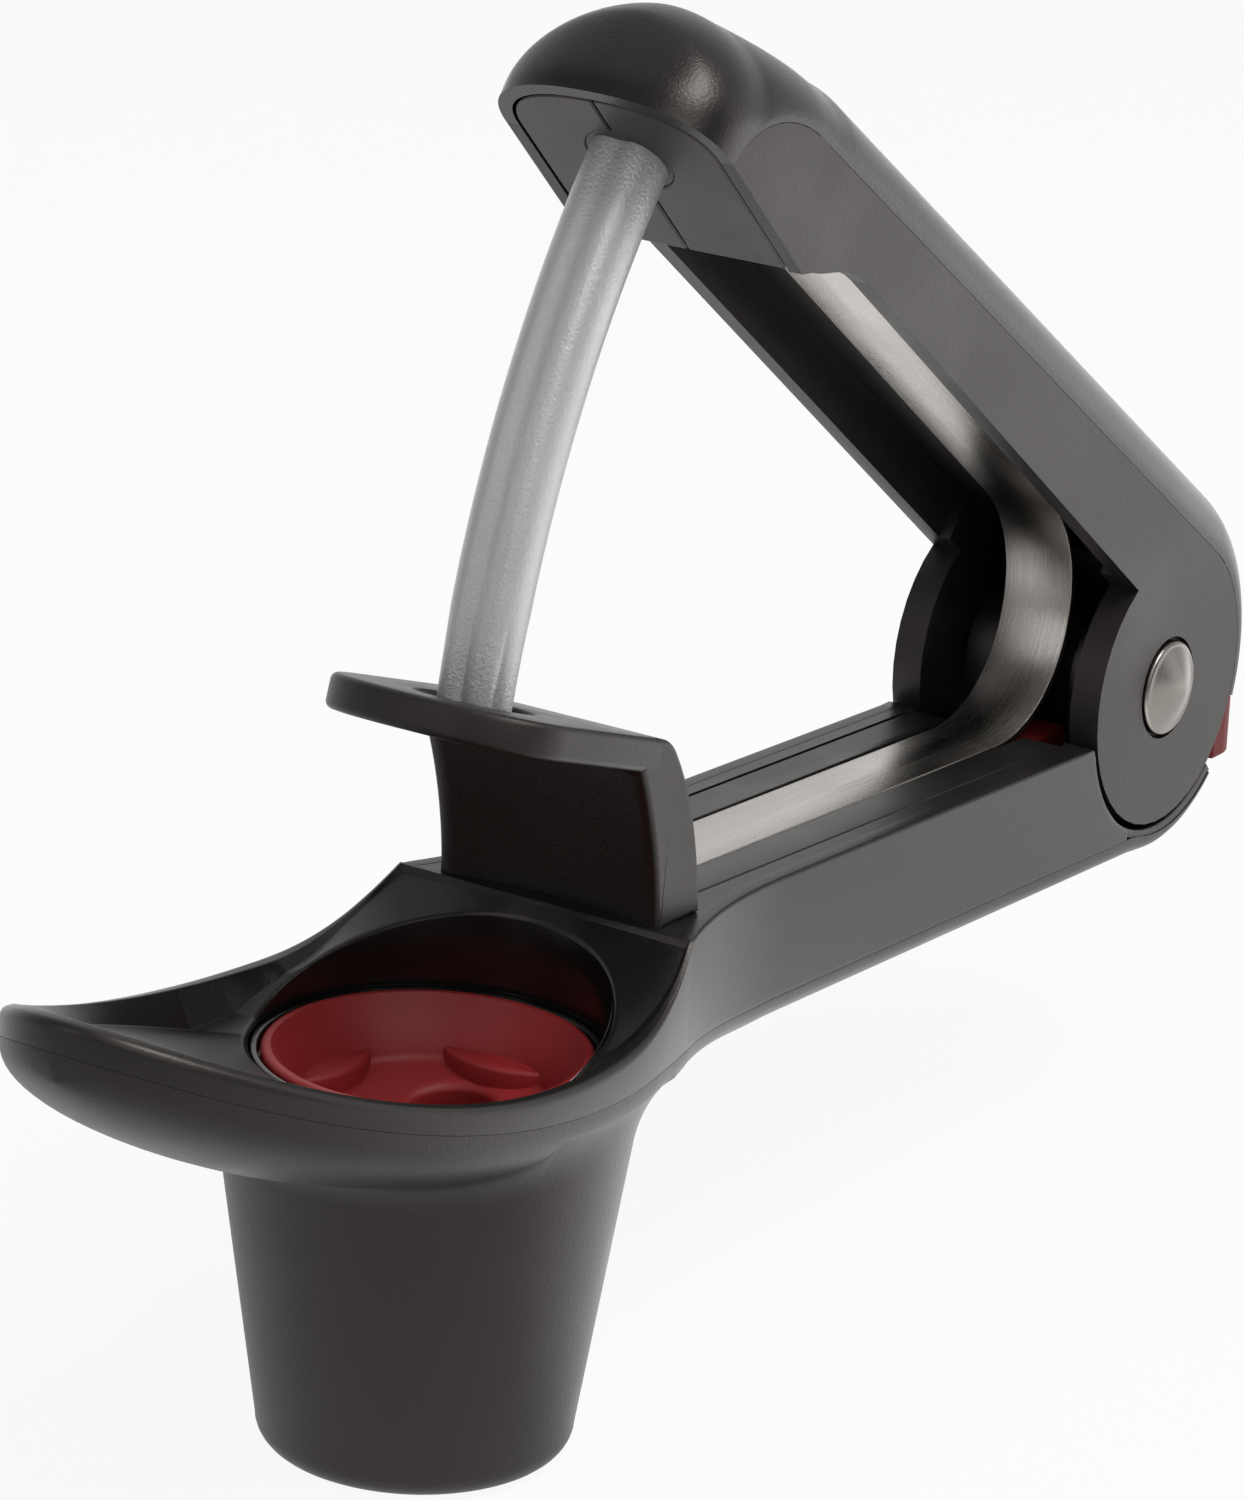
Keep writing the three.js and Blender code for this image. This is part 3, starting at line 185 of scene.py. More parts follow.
# ---------------------------------------------------------------------------------------- mesh tools
def grid_mesh(name: str, rings: Array, loop: bool = False, sharp: float = SHARP_TURN,
              polish: Array | None = None) -> bpy.types.Object:
    """A closed skin over rings of points, where ring i joins ring i + 1 point by point.

    Args:
        name: the object's name.
        rings: points of shape (rings, points, 3) in the cup frame, in millimetres; each ring is closed.
        loop: the last ring joins the first one; otherwise a fan about its mean point closes each end.
        sharp: edges that turn by more than this many degrees stay crisp.
        polish: how polished the surface is at each point, from 0 to 1, of shape (rings, points).

    Returns:
        The new object, its faces outward.
    """
    rings = np.asarray(rings, float)
    n, m = rings.shape[:2]
    points = rings.reshape(-1, 3)
    faces, tris = [quads(n, m, loop).reshape(-1, 4)], []
    if not loop:
        points = np.vstack([points, rings[0].mean(0), rings[-1].mean(0)])
        j, q = np.arange(m), (np.arange(m) + 1) % m
        tris = [np.stack([j, q, np.full(m, n * m)], -1),
                np.stack([(n - 1) * m + q, (n - 1) * m + j, np.full(m, n * m + 1)], -1)]
    return build_mesh(name, points, faces, tris, sharp, polish)


def build_mesh(name: str, points: Array, fours: Sequence[Array], others: Sequence[Array], sharp: float,
               polish: Array | None = None) -> bpy.types.Object:
    """Puts points and faces into a mesh object at the origin, with its faces outward and its doubles merged.

    Args:
        name: the object's name.
        points: of shape (points, 3), in the cup frame, in millimetres.
        fours: blocks of faces of one kind, each of shape (faces, corners).
        others: more such blocks.
        sharp: edges that turn by more than this many degrees stay crisp.
        polish: how polished the surface is at each point, from 0 to 1.

    Returns:
        The new object.
    """
    mesh = bpy.data.meshes.new(name)
    faces = [f for block in (*fours, *others) for f in np.asarray(block, int).tolist()]
    mesh.from_pydata(LAYOUT.row(points).tolist(), [], faces)
    if polish is not None:
        layer = mesh.attributes.new("polish", "FLOAT", "POINT")
        layer.data.foreach_set("value", np.asarray(polish, np.float32).ravel())
    tidy_mesh(mesh, sharp)
    made = bpy.data.objects.new(name, mesh)
    bpy.context.scene.collection.objects.link(made)
    return made


def tidy_mesh(mesh: bpy.types.Mesh, sharp: float, flat: float = 0.0) -> None:
    """Merges doubles, drops faces of no area, turns the faces outward and smooths all but the sharp edges.

    Args:
        mesh: the mesh to change.
        sharp: edges that turn by more than this many degrees stay crisp.
        flat: faces that turn by less than this are joined; the faces of such a mesh already point outward.
    """
    bm = bmesh.new()
    bm.from_mesh(mesh)
    bmesh.ops.remove_doubles(bm, verts=bm.verts, dist=MERGE)
    bmesh.ops.dissolve_degenerate(bm, edges=bm.edges, dist=MERGE / 2)
    if flat:
        bmesh.ops.dissolve_limit(bm, angle_limit=math.radians(flat), verts=bm.verts, edges=bm.edges)
    else:
        bmesh.ops.recalc_face_normals(bm, faces=bm.faces)
        if bm.calc_volume(signed=True) < 0:
            bmesh.ops.reverse_faces(bm, faces=bm.faces)
    bm.to_mesh(mesh)
    bm.free()
    mesh.polygons.foreach_set("use_smooth", np.ones(len(mesh.polygons), bool))
    mesh.set_sharp_from_angle(angle=math.radians(sharp))
    mesh.update()


def carried(node: str, name: str, round_off: float) -> bpy.types.Object:
    """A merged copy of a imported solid, with its flat facets joined and its edges rounded, that stands for it.

    Args:
        node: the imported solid's name.
        name: the copy's name.
        round_off: the width of its rounded edges, in millimetres.

    Returns:
        The new object.
    """
    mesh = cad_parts[node].data.copy()
    mesh.name = name
    mesh.materials.clear()
    tidy_mesh(mesh, FACET_TURN, flat=FLAT_TURN)
    made = bpy.data.objects.new(name, mesh)
    bpy.context.scene.collection.objects.link(made)
    edge = made.modifiers.new("rounded", "BEVEL")
    edge.width, edge.segments, edge.limit_method = round_off / 1000, 2, "ANGLE"
    edge.angle_limit, edge.use_clamp_overlap, edge.harden_normals = math.radians(FACET_TURN), True, False
    return made


def rounded(corners: Array | Sequence[Sequence[float]], radii: Array | Sequence[float] | float,
            steps: int = ARC_STEPS) -> Array:
    """Closed outlines whose corners are arcs.

    Each corner is cut back by r / tan(half its angle) on both sides, and a circular arc joins the two cuts.

    Args:
        corners: the outlines' corners in order, of shape (..., corners, 2).
        radii: one radius for all corners, or one for each.
        steps: the pieces in each arc.

    Returns:
        Points of shape (..., corners * (steps + 1), 2).
    """
    p = np.asarray(corners, float)
    r = np.broadcast_to(np.asarray(radii, float), p.shape[:-1])[..., None]
    back, ahead = np.roll(p, 1, -2) - p, np.roll(p, -1, -2) - p
    lb, la = np.linalg.norm(back, axis=-1, keepdims=True), np.linalg.norm(ahead, axis=-1, keepdims=True)
    back, ahead = back / np.maximum(lb, 1e-9), ahead / np.maximum(la, 1e-9)
    half = np.arccos(np.clip((back * ahead).sum(-1, keepdims=True), -1, 1)) / 2
    half = np.clip(half, 1e-3, np.pi / 2 - 1e-4)
    cut = np.minimum(r / np.tan(half), 0.48 * np.minimum(lb, la))
    radius = cut * np.tan(half)
    bisector = back + ahead
    bisector = bisector / np.maximum(np.linalg.norm(bisector, axis=-1, keepdims=True), 1e-9)
    centre = p + bisector * radius / np.sin(half)
    start, end = (p + back * cut - centre)[..., None, :], (p + ahead * cut - centre)[..., None, :]
    sweep = (np.pi - 2 * half)[..., None]
    t = np.linspace(0, 1, steps + 1)[:, None]
    arc = (np.sin((1 - t) * sweep) * start + np.sin(t * sweep) * end) / np.sin(sweep)
    return (centre[..., None, :] + arc).reshape(*p.shape[:-2], -1, 2)


def quads(rows: int, points: int, loop: bool = False, first: int = 0) -> Array:
    """The faces between rings of points, of shape (rows between rings, points, 4).

    Args:
        rows: how many rings.
        points: points in each closed ring.
        loop: the last ring joins the first one.
        first: the number of the first ring's first point.

    Returns:
        Each face as the numbers of its four points.
    """
    steps = np.arange(rows if loop else rows - 1)
    i, k = (steps * points)[:, None], ((steps + 1) % rows * points)[:, None]
    j, q = np.arange(points)[None], (np.arange(points)[None] + 1) % points
    return np.stack(np.broadcast_arrays(i + j, k + j, k + q, i + q), -1) + first


def carve(piece: bpy.types.Object, *tools: bpy.types.Object) -> bpy.types.Object:
    """Cuts closed tools out of a closed piece, puts the result into its mesh and removes the tools.

    Args:
        piece: the piece that is cut.
        tools: the objects that cut it.

    Returns:
        The piece.
    """
    for tool in tools:
        step = piece.modifiers.new("cut", "BOOLEAN")
        step.operation, step.object, step.solver = "DIFFERENCE", tool, "EXACT"
    bpy.context.view_layer.update()
    made = bpy.data.meshes.new_from_object(piece.evaluated_get(bpy.context.evaluated_depsgraph_get()))
    piece.modifiers.clear()
    old, piece.data = piece.data, made
    made.name = piece.name
    bpy.data.meshes.remove(old)
    for tool in tools:
        bpy.data.objects.remove(tool)
    made.set_sharp_from_angle(angle=math.radians(SHARP_TURN))
    return piece


def inset(outline: Array, amount: float) -> Array:
    """A closed outline moved inward along its own normals; the turn of the outline gives the side.

    Args:
        outline: of shape (points, 2).
        amount: how far it moves.

    Returns:
        The moved outline.
    """
    step = np.roll(outline, -1, 0) - np.roll(outline, 1, 0)
    normal = np.stack([-step[:, 1], step[:, 0]], -1)
    normal /= np.maximum(np.linalg.norm(normal, axis=1, keepdims=True), 1e-12)
    x, y = outline[:, 0], outline[:, 1]
    turn = np.sign((x * np.roll(y, -1) - np.roll(x, -1) * y).sum())
    return outline + normal * amount * turn


def pulled(outline: Array, low: float, high: float, edge: float, place: Callable[[Array, Array], Array],
           steps: int = 4) -> Array:
    """Rings of an outline pulled from low to high, with both rims rounded by a quarter circle of radius edge.

    Ring k is the outline drawn in by edge (1 - cos a) at a height of edge (1 - sin a) from the end.

    Args:
        outline: closed, of shape (points, 2).
        low: where the pull starts.
        high: where it ends.
        edge: the rims' radius.
        place: turns the outline's points and a height into 3-D points.
        steps: the pieces in each rounded rim.

    Returns:
        Rings of shape (2 (steps + 1), points, 3).
    """
    a = np.linspace(0, math.pi / 2, steps + 1)
    draw = edge * (1 - np.sin(a))
    rise = edge * (1 - np.cos(a))
    heights = np.concatenate([low + rise, high - rise[::-1]])
    draws = np.concatenate([draw, draw[::-1]])
    return np.stack([place(inset(outline, d), np.full(len(outline), h)) for d, h in zip(draws, heights)])


def turned(profile: Array, segments: int = 96) -> Array:
    """Rings about the Z axis from a profile: ring k is the circle of radius r at height z.

    Args:
        profile: rows of (radius, z).
        segments: points in each ring.

    Returns:
        Rings of shape (rows, segments, 3).
    """
    a = np.linspace(0, 2 * np.pi, segments, endpoint=False)
    r, z = profile[:, 0:1], profile[:, 1:2]
    return np.stack([r * np.cos(a), r * np.sin(a), np.broadcast_to(z, (len(profile), segments))], -1)


def leaning(start: Array, bend: Array, end: Array, at: Array) -> Array:
    """A curve from start to end that leans towards bend: start (1-t)^2 + 2 bend t (1-t) + end t^2."""
    return start * (1 - at) ** 2 + 2 * bend * at * (1 - at) + end * at * at


# ---------------------------------------------------------------------------------------- materials
class Nodes:
    """A small writer for node trees."""

    def __init__(self, tree: bpy.types.NodeTree) -> None:
        """Takes the tree that the nodes go into."""
        self.tree = tree

    def add(self, kind: str, **values: object) -> bpy.types.Node:
        """A new node with its properties set.

        Args:
            kind: the node's type.
            values: its properties.

        Returns:
            The node.
        """
        node = self.tree.nodes.new(kind)
        for key, value in values.items():
            setattr(node, key, value)
        return node

    def join(self, source: bpy.types.NodeSocket, target: bpy.types.NodeSocket) -> None:
        """Links one socket to another."""
        self.tree.links.new(source, target)

    def math(self, operation: str, a: object, b: object = 0.0, clamp: bool = False) -> bpy.types.NodeSocket:
        """A Math node of two inputs.

        Args:
            operation: the node's operation.
            a: the first input, a socket or a number.
            b: the second one.
            clamp: the result stays between 0 and 1.

        Returns:
            The node's output.
        """
        node = self.add("ShaderNodeMath", operation=operation, use_clamp=clamp)
        for socket, value in zip(node.inputs, (a, b)):
            if isinstance(value, bpy.types.NodeSocket):
                self.join(value, socket)
            else:
                socket.default_value = value
        return node.outputs[0]


class EffectGroup(Nodes):
    """A shader group with float inputs and outputs; its pattern lies in Object coordinates."""

    def __init__(self, name: str, inputs: dict[str, float], outputs: Sequence[str]) -> None:
        """Makes the empty group.

        Args:
            name: the group's name.
            inputs: the input sockets and their values.
            outputs: the output sockets.
        """
        tree = bpy.data.node_groups.new(name, "ShaderNodeTree")
        for key, value in inputs.items():
            socket = tree.interface.new_socket(key, in_out="INPUT", socket_type="NodeSocketFloat")
            socket.default_value = value
        for key in outputs:
            tree.interface.new_socket(key, in_out="OUTPUT", socket_type="NodeSocketFloat")
        super().__init__(tree)
        self.given = self.add("NodeGroupInput").outputs
        self.out = self.add("NodeGroupOutput").inputs
        self.place = self.add("ShaderNodeTexCoord").outputs["Object"]

    def noise(self, place: bpy.types.NodeSocket, scale: bpy.types.NodeSocket | float,
              detail: float, rough: float = 0.5) -> bpy.types.NodeSocket:
        """A noise texture's value.

        Args:
            place: the coordinates that it reads.
            scale: its scale, a socket or a number.
            detail: how many octaves it has.
            rough: how strong each octave is beside the one before.

        Returns:
            The texture's factor.
        """
        made = self.add("ShaderNodeTexNoise")
        made.inputs["Detail"].default_value = detail
        made.inputs["Roughness"].default_value = rough
        self.join(place, made.inputs["Vector"])
        if isinstance(scale, bpy.types.NodeSocket):
            self.join(scale, made.inputs["Scale"])
        else:
            made.inputs["Scale"].default_value = scale
        return made.outputs["Fac"]


class SurfaceGroups:
    """The effects that several finishes share, each built once."""

    def __init__(self) -> None:
        """Builds the groups."""
        self.grain = self._grain()
        self.brushed = self._brushed()
        self.wear = self._wear()

    def _grain(self) -> bpy.types.ShaderNodeTree:
        """Spark-eroded mould texture: fine cells as a height, and a slow drift as a tone.

        Returns:
            The group.
        """
        n = EffectGroup("mould_grain", {"Scale": 2600.0, "Drift": 35.0}, ("Height", "Tone"))
        n.join(n.noise(n.place, n.given["Scale"], 3.0, 0.62), n.out["Height"])
        n.join(n.noise(n.place, n.given["Drift"], 4.0), n.out["Tone"])
        return n.tree

    def _brushed(self) -> bpy.types.ShaderNodeTree:
        """Brush lines: noise that is stretched along X and Z and fine along Y, and a slower band.

        Returns:
            The group.
        """
        n = EffectGroup("brush_lines", {"Along": 26.0, "Across": 15000.0}, ("Lines", "Bands"))
        split = n.add("ShaderNodeSeparateXYZ")
        n.join(n.place, split.inputs[0])
        stretched = n.add("ShaderNodeCombineXYZ")
        run = n.math("ADD", split.outputs["X"], split.outputs["Z"])
        n.join(n.math("MULTIPLY", run, n.given["Along"]), stretched.inputs["X"])
        n.join(n.math("MULTIPLY", split.outputs["Y"], n.given["Across"]), stretched.inputs["Y"])
        for scale, key in ((1.0, "Lines"), (0.21, "Bands")):
            n.join(n.noise(stretched.outputs[0], scale, 3.0), n.out[key])
        return n.tree

    def _wear(self) -> bpy.types.ShaderNodeTree:
        """Handling marks: patches where a noise is high, and pin-prick dust at cell centres inside them.

        Returns:
            The group.
        """
        n = EffectGroup("handling", {"Patches": 55.0, "Specks": 900.0}, ("Rubbed", "Dust"))
        wide = n.noise(n.place, n.given["Patches"], 5.0)
        rubbed = n.math("MULTIPLY", n.math("SUBTRACT", wide, 0.52), 5.0, clamp=True)
        cells = n.add("ShaderNodeTexVoronoi")
        n.join(n.place, cells.inputs["Vector"])
        n.join(n.given["Specks"], cells.inputs["Scale"])
        prick = n.math("MULTIPLY", n.math("SUBTRACT", 0.12, cells.outputs["Distance"]), 12.0, clamp=True)
        n.join(rubbed, n.out["Rubbed"])
        n.join(n.math("MULTIPLY", prick, rubbed), n.out["Dust"])
        return n.tree


GROUPS = SurfaceGroups()
WARM: Colour = (1.0, 0.91, 0.87)
DUST: Colour = (0.32, 0.31, 0.29)
BUMP_DEPTH = 0.00012  # metres


@dataclass(frozen=True)
class Finish:
    """One finish: plain shader values, and how far grain, drift and handling move them."""

    name: str
    slot: Slot
    colour: Colour
    rough: float
    metal: float = 0.0
    specular: float = 0.5
    grain: float = 0.0
    grain_scale: float = 2600.0
    tone: float = 0.12
    rough_drift: float = 0.06
    dust: float = 0.07
    subsurface: float = 0.0
    brushed: float = 0.0
    polished: float = 0.0
    tint: Colour = (1.0, 1.0, 1.0)

    def material(self) -> bpy.types.Material:
        """The finish as a node material, made once and shared."""
        found = bpy.data.materials.get(self.name)
        return found or self._make()

    def _make(self) -> bpy.types.Material:
        """Wires the finish's colour, roughness and bump into its shader, and sets its plain values.

        Returns:
            The new material.
        """
        made = bpy.data.materials.new(self.name)
        made.use_nodes = True
        made.node_tree.nodes.clear()
        n = Nodes(made.node_tree)
        shader = n.add("ShaderNodeBsdfPrincipled")
        n.join(shader.outputs[0], n.add("ShaderNodeOutputMaterial").inputs["Surface"])
        grain = n.add("ShaderNodeGroup", node_tree=GROUPS.grain)
        grain.inputs["Scale"].default_value = self.grain_scale
        wear = n.add("ShaderNodeGroup", node_tree=GROUPS.wear)
        lines = n.add("ShaderNodeGroup", node_tree=GROUPS.brushed) if self.brushed else None
        n.join(self._shade(n, grain, wear), shader.inputs["Base Color"])
        n.join(self._roughness(n, grain, wear, lines), shader.inputs["Roughness"])
        bump = n.add("ShaderNodeBump")
        bump.inputs["Strength"].default_value = self.grain
        bump.inputs["Distance"].default_value = BUMP_DEPTH
        n.join(lines.outputs["Lines"] if lines else grain.outputs["Height"], bump.inputs["Height"])
        n.join(bump.outputs[0], shader.inputs["Normal"])
        self._plain_values(shader)
        return made

    def _shade(self, n: Nodes, grain: bpy.types.Node, wear: bpy.types.Node) -> bpy.types.NodeSocket:
        """The colour: the base tone scaled by the slow drift, then lightened by dust.

        Args:
            n: the material's nodes.
            grain: the grain group's node.
            wear: the handling group's node.

        Returns:
            The colour's socket.
        """
        shade = n.add("ShaderNodeMix", data_type="RGBA", blend_type="MIX")
        low, high = 1 - self.tone, 1 + self.tone
        shade.inputs["A"].default_value = (*[c * low for c in self.colour], 1)
        shade.inputs["B"].default_value = (*[min(1.0, c * high) for c in self.colour], 1)
        n.join(grain.outputs["Tone"], shade.inputs["Factor"])
        dusty = n.add("ShaderNodeMix", data_type="RGBA", blend_type="MIX")
        dusty.inputs["B"].default_value = (*DUST, 1)
        n.join(shade.outputs["Result"], dusty.inputs["A"])
        n.join(n.math("MULTIPLY", wear.outputs["Dust"], self.dust), dusty.inputs["Factor"])
        return dusty.outputs["Result"]

    def _roughness(self, n: Nodes, grain: bpy.types.Node, wear: bpy.types.Node,
                   lines: bpy.types.Node | None) -> bpy.types.NodeSocket:
        """The roughness: it drifts with the tone, falls where hands rub and where the mould is polished.

        Args:
            n: the material's nodes.
            grain: the grain group's node.
            wear: the handling group's node.
            lines: the brush group's node, on a brushed metal.

        Returns:
            The roughness's socket.
        """
        drift = n.math("SUBTRACT", grain.outputs["Tone"], 0.5)
        rough = n.math("ADD", n.math("MULTIPLY", drift, 2 * self.rough_drift), self.rough)
        rough = n.math("SUBTRACT", rough, n.math("MULTIPLY", wear.outputs["Rubbed"], self.rough_drift))
        if lines:
            streak = n.math("MULTIPLY", n.math("SUBTRACT", lines.outputs["Bands"], 0.5), self.brushed)
            rough = n.math("ADD", rough, streak)
        if self.polished:
            mask = n.add("ShaderNodeAttribute", attribute_name="polish").outputs["Fac"]
            rough = n.math("SUBTRACT", rough, n.math("MULTIPLY", mask, self.rough - self.polished))
        return rough

    def _plain_values(self, shader: bpy.types.Node) -> None:
        """Sets the shader's values that are the same all over.

        Args:
            shader: the material's shader node.
        """
        values: dict[str, object] = {
            "Metallic": self.metal, "Specular IOR Level": self.specular, "Specular Tint": (*self.tint, 1),
            "Subsurface Weight": self.subsurface,
        }
        if self.subsurface:
            values |= {"Subsurface Scale": 0.0015, "Subsurface Radius": (1.0, 0.25, 0.2)}
        if self.brushed:
            values["Anisotropic"] = 0.6
        for key, value in values.items():
            shader.inputs[key].default_value = value


UPPER = Finish("upper_moulding_satin", Slot.UPPER, (0.0082, 0.0076, 0.0074), 0.38, grain=0.2,
               rough_drift=0.03, polished=0.33, tint=WARM)
LOWER = Finish("lower_moulding_grained", Slot.LOWER, (0.0105, 0.0095, 0.0093), 0.44, grain=0.32,
               grain_scale=2000.0, tint=WARM)
GUARD = Finish("guard_matte", Slot.GUARD, (0.0088, 0.0078, 0.0075), 0.46, grain=0.3, tint=WARM)
RED_RUBBER = Finish("insert_silicone", Slot.SILICONE, (0.270, 0.0170, 0.0180), 0.5, specular=0.4,
                    grain=0.12, tone=0.1, subsurface=0.08)
GLOSS = Finish("bore_gloss", Slot.GLOSS, (0.0055, 0.0050, 0.0050), 0.2, grain=0.03, rough_drift=0.02,
               tint=WARM)
BED = Finish("bed_satin", Slot.BED, (0.0085, 0.0080, 0.0078), 0.42, grain=0.25, tint=WARM)
SPRING = Finish("spring_brushed", Slot.SPRING, (0.50, 0.47, 0.44), 0.3, metal=1.0, grain=0.16, brushed=0.2,
                dust=0.0)
STEEL = Finish("screw_zinc", Slot.FASTENERS, (0.58, 0.58, 0.56), 0.34, metal=1.0, grain=0.15, dust=0.0)
NYLON = Finish("bearing_nylon", Slot.NYLON, (0.62, 0.60, 0.54), 0.45, grain=0.2)
RED_PLASTIC = Finish("latch_red", Slot.RED, (0.150, 0.012, 0.012), 0.5, specular=0.15, grain=0.12, tone=0.08)
LEVER = Finish("lever_matte", Slot.LEVER, (0.0106, 0.0093, 0.0089), 0.46, grain=0.28, tint=WARM)
# The head plates and the rod collar use the lever moulding's slot with a colour about three times lighter. This
# is painted light that stands in for the light the white floor bounces up onto the head's underside. Only the
# wider tone and roughness drift stand for scuffs.
PLATE_PAINTED_BOUNCE = Finish("head_plate_scuffed_painted_bounce", Slot.LEVER, (0.0330, 0.0295, 0.0275), 0.48, grain=0.3, tone=0.2,
               rough_drift=0.09, tint=WARM)
GRIP = Finish("grip_soft", Slot.GRIP, (0.0050, 0.0046, 0.0045), 0.35, grain=0.34, rough_drift=0.03, tint=WARM)
DIECAST = Finish("rod_diecast", Slot.DIECAST, (0.50, 0.505, 0.515), 0.45, metal=0.65, grain=0.8, dust=0.0)
RIVET = Finish("rivet_brushed", Slot.RIVET, (0.225, 0.205, 0.19), 0.33, metal=1.0, grain=0.16, dust=0.0)

NODE_FINISH: dict[str, Finish] = {
    "base_frame": UPPER, "cup_shell": LOWER, "guard_bracket": GUARD, "insert_cup": RED_RUBBER,
    "insert_ring": GLOSS, "spring_bed": BED, "leaf_spring": SPRING, "latch_slider": RED_PLASTIC,
    "lever_frame": LEVER, "grip_shell": GRIP, "head_plate_left": LEVER, "head_plate_right": LEVER,
    "pitting_rod": DIECAST, "rod_pin": STEEL, "hinge_pin": RIVET, "hinge_cap": RIVET,
    "hinge_bush_left": NYLON, "hinge_bush_right": NYLON, "hinge_washer_left": NYLON,
    "hinge_washer_right": NYLON,
}


def dress_packed_nodes() -> None:
    """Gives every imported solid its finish; the screws, which have no entry of their own, are plated steel."""
    for name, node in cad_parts.items():
        finish = NODE_FINISH.get(name, STEEL)
        node.data.materials.clear()
        node.data.materials.append(finish.material())


def settle(piece: bpy.types.Object, finish: Finish, body: Body | None, *nodes: str) -> bpy.types.Object:
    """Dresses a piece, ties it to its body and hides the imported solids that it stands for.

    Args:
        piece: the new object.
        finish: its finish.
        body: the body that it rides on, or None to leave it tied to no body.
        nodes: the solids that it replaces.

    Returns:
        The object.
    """
    piece.data.materials.clear()
    piece.data.materials.append(finish.material())
    if body:
        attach(piece, body.value)
    if nodes:
        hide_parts(*nodes)
    return piece


# ---------------------------------------------------------------------------------------- sub-assemblies
@dataclass(frozen=True)
class ArmForm:
    """The lower arm's form lines, which the mouldings, the bore and the screws follow."""

    centre: float = -12.0
    front: float = 46.8
    rear: float = 50.0
    half: float = 23.0
    ridge: float = 19.5
    neck: float = 25.0
    neck_power: float = 2.2
    rim_low: float = 3.6
    rim_tip: float = 19.6
    rim_shoulder: float = 10.0
    rim_power: float = 2.6
    top: float = 9.95
    top_fall: float = 0.035
    seam_level: float = -0.2
    seam_fall: float = 0.08
    seam_curve: float = 0.0035
    seam_eased: float = 8.0
    arm_start: float = 42.0
    arm_seam: float = -3.8
    arm_seam_fall: float = 0.03
    hull: float = 9.0
    hull_front: float = -25.0
    hull_round: float = 35.0
    hull_front_power: float = 0.45
    hull_power: float = 0.4
    arm_hull: float = 4.4
    arm_hull_start: float = 34.0
    hull_lip: float = 0.25
    bore: float = 17.8
    bore_rise: float = 2.0
    bore_slope: float = 0.35
    bore_tail: float = -5.0
    bore_tail_height: float = 0.25
    bore_tail_run: float = 6.0
    seat: float = -3.0
    collar: float = 20.2
    collar_border: float = 0.9
    cup_radius: float = 15.6
    cup_slope: float = 5.8 / 38.8
    flare: float = 3.6

    @property
    def tip(self) -> float:
        """The tray's front end."""
        return self.centre - self.front

    @property
    def shoulder(self) -> float:
        """Half the tray's width at the ridge."""
        return float(self.tray_half(np.array(self.ridge)))

    @property
    def ridge_angle(self) -> float:
        """Direction of the near shoulder, seen from the cup's axis."""
        return math.atan2(self.shoulder, self.ridge)

    def tray_half(self, x: Array) -> Array:
        """Two half ellipses of one width that meet at the centre: half sqrt(1 - (distance / reach)^2)."""
        reach = np.where(x < self.centre, self.front, self.rear)
        return self.half * np.sqrt(np.maximum(0, 1 - ((x - self.centre) / reach) ** 2))

    def half_width(self, x: Array) -> Array:
        """The tray's half width, then a power curve that draws it in to the arm's.

        Args:
            x: places along the arm.

        Returns:
            The half widths there.
        """
        t = np.clip((x - self.ridge) / self.neck, 0, 1)
        drawn = LAYOUT.arm_half + (self.shoulder - LAYOUT.arm_half) * (1 - t) ** self.neck_power
        return np.where(x <= self.ridge, self.tray_half(x), drawn)

    def rim(self, x: Array) -> Array:
        """The rim is lowest beside the cup and rises by powers of the distance to the tip and to the ridge.

        Args:
            x: places along the tray.

        Returns:
            The rim's heights there.
        """
        front = self.rim_low + (self.rim_tip - self.rim_low) * (x / self.tip) ** 2
        rise = (np.maximum(x, 0) / self.ridge) ** self.rim_power
        return np.where(x < 0, front, self.rim_low + (self.rim_shoulder - self.rim_low) * rise)

    def seam(self, x: Array) -> Array:
        """The line between the mouldings: a shallow parabola, eased behind the cup into the arm's slope.

        Args:
            x: places along the arm.

        Returns:
            The line's heights there.
        """
        near = np.minimum(x, self.seam_eased)
        free = self.seam_level - self.seam_fall * near + self.seam_curve * near * near
        drop = ease(x, self.seam_eased, self.arm_start)
        fall = self.arm_seam_fall * np.maximum(0, x - self.arm_start)
        return free * (1 - drop) + self.arm_seam * drop - fall

    def arm_top(self, x: Array) -> Array:
        """The arm's flat top falls by a small share of x."""
        return self.top - self.top_fall * (x - self.ridge)

    def bore_edge(self, x: Array) -> Array:
        """The bore's upper edge: a line, and in front of bore_tail an exponential tail down to nothing."""
        tail = self.bore_tail_height * np.exp(np.minimum(0, x - self.bore_tail) / self.bore_tail_run)
        return np.where(x > self.bore_tail, self.bore_rise + self.bore_slope * x, tail)

    def hull_depth(self, x: Array) -> Array:
        """The hull's depth under the seam: round at the front, even under the tray, shallower along the arm.

        Args:
            x: places along the arm.

        Returns:
            The depths there.
        """
        ahead = np.minimum(0, x - self.hull_front) / self.hull_round
        full = self.hull * np.maximum(0, 1 - ahead ** 2) ** self.hull_front_power
        return full + (self.arm_hull - full) * ease(x, 0, self.arm_hull_start)

    def under(self, x: Array, y: Array) -> Array:
        """The hull's underside: across the arm it is a superellipse of power hull_power under the seam.

        Args:
            x: places along the arm.
            y: places across it.

        Returns:
            The underside's heights there.
        """
        share = np.clip(y / np.maximum(self.half_width(x), 1e-6), -1, 1)
        depth = np.maximum(0, self.hull_depth(x) - self.hull_lip)
        return self.seam(x) - self.hull_lip - depth * (1 - share ** 2) ** self.hull_power

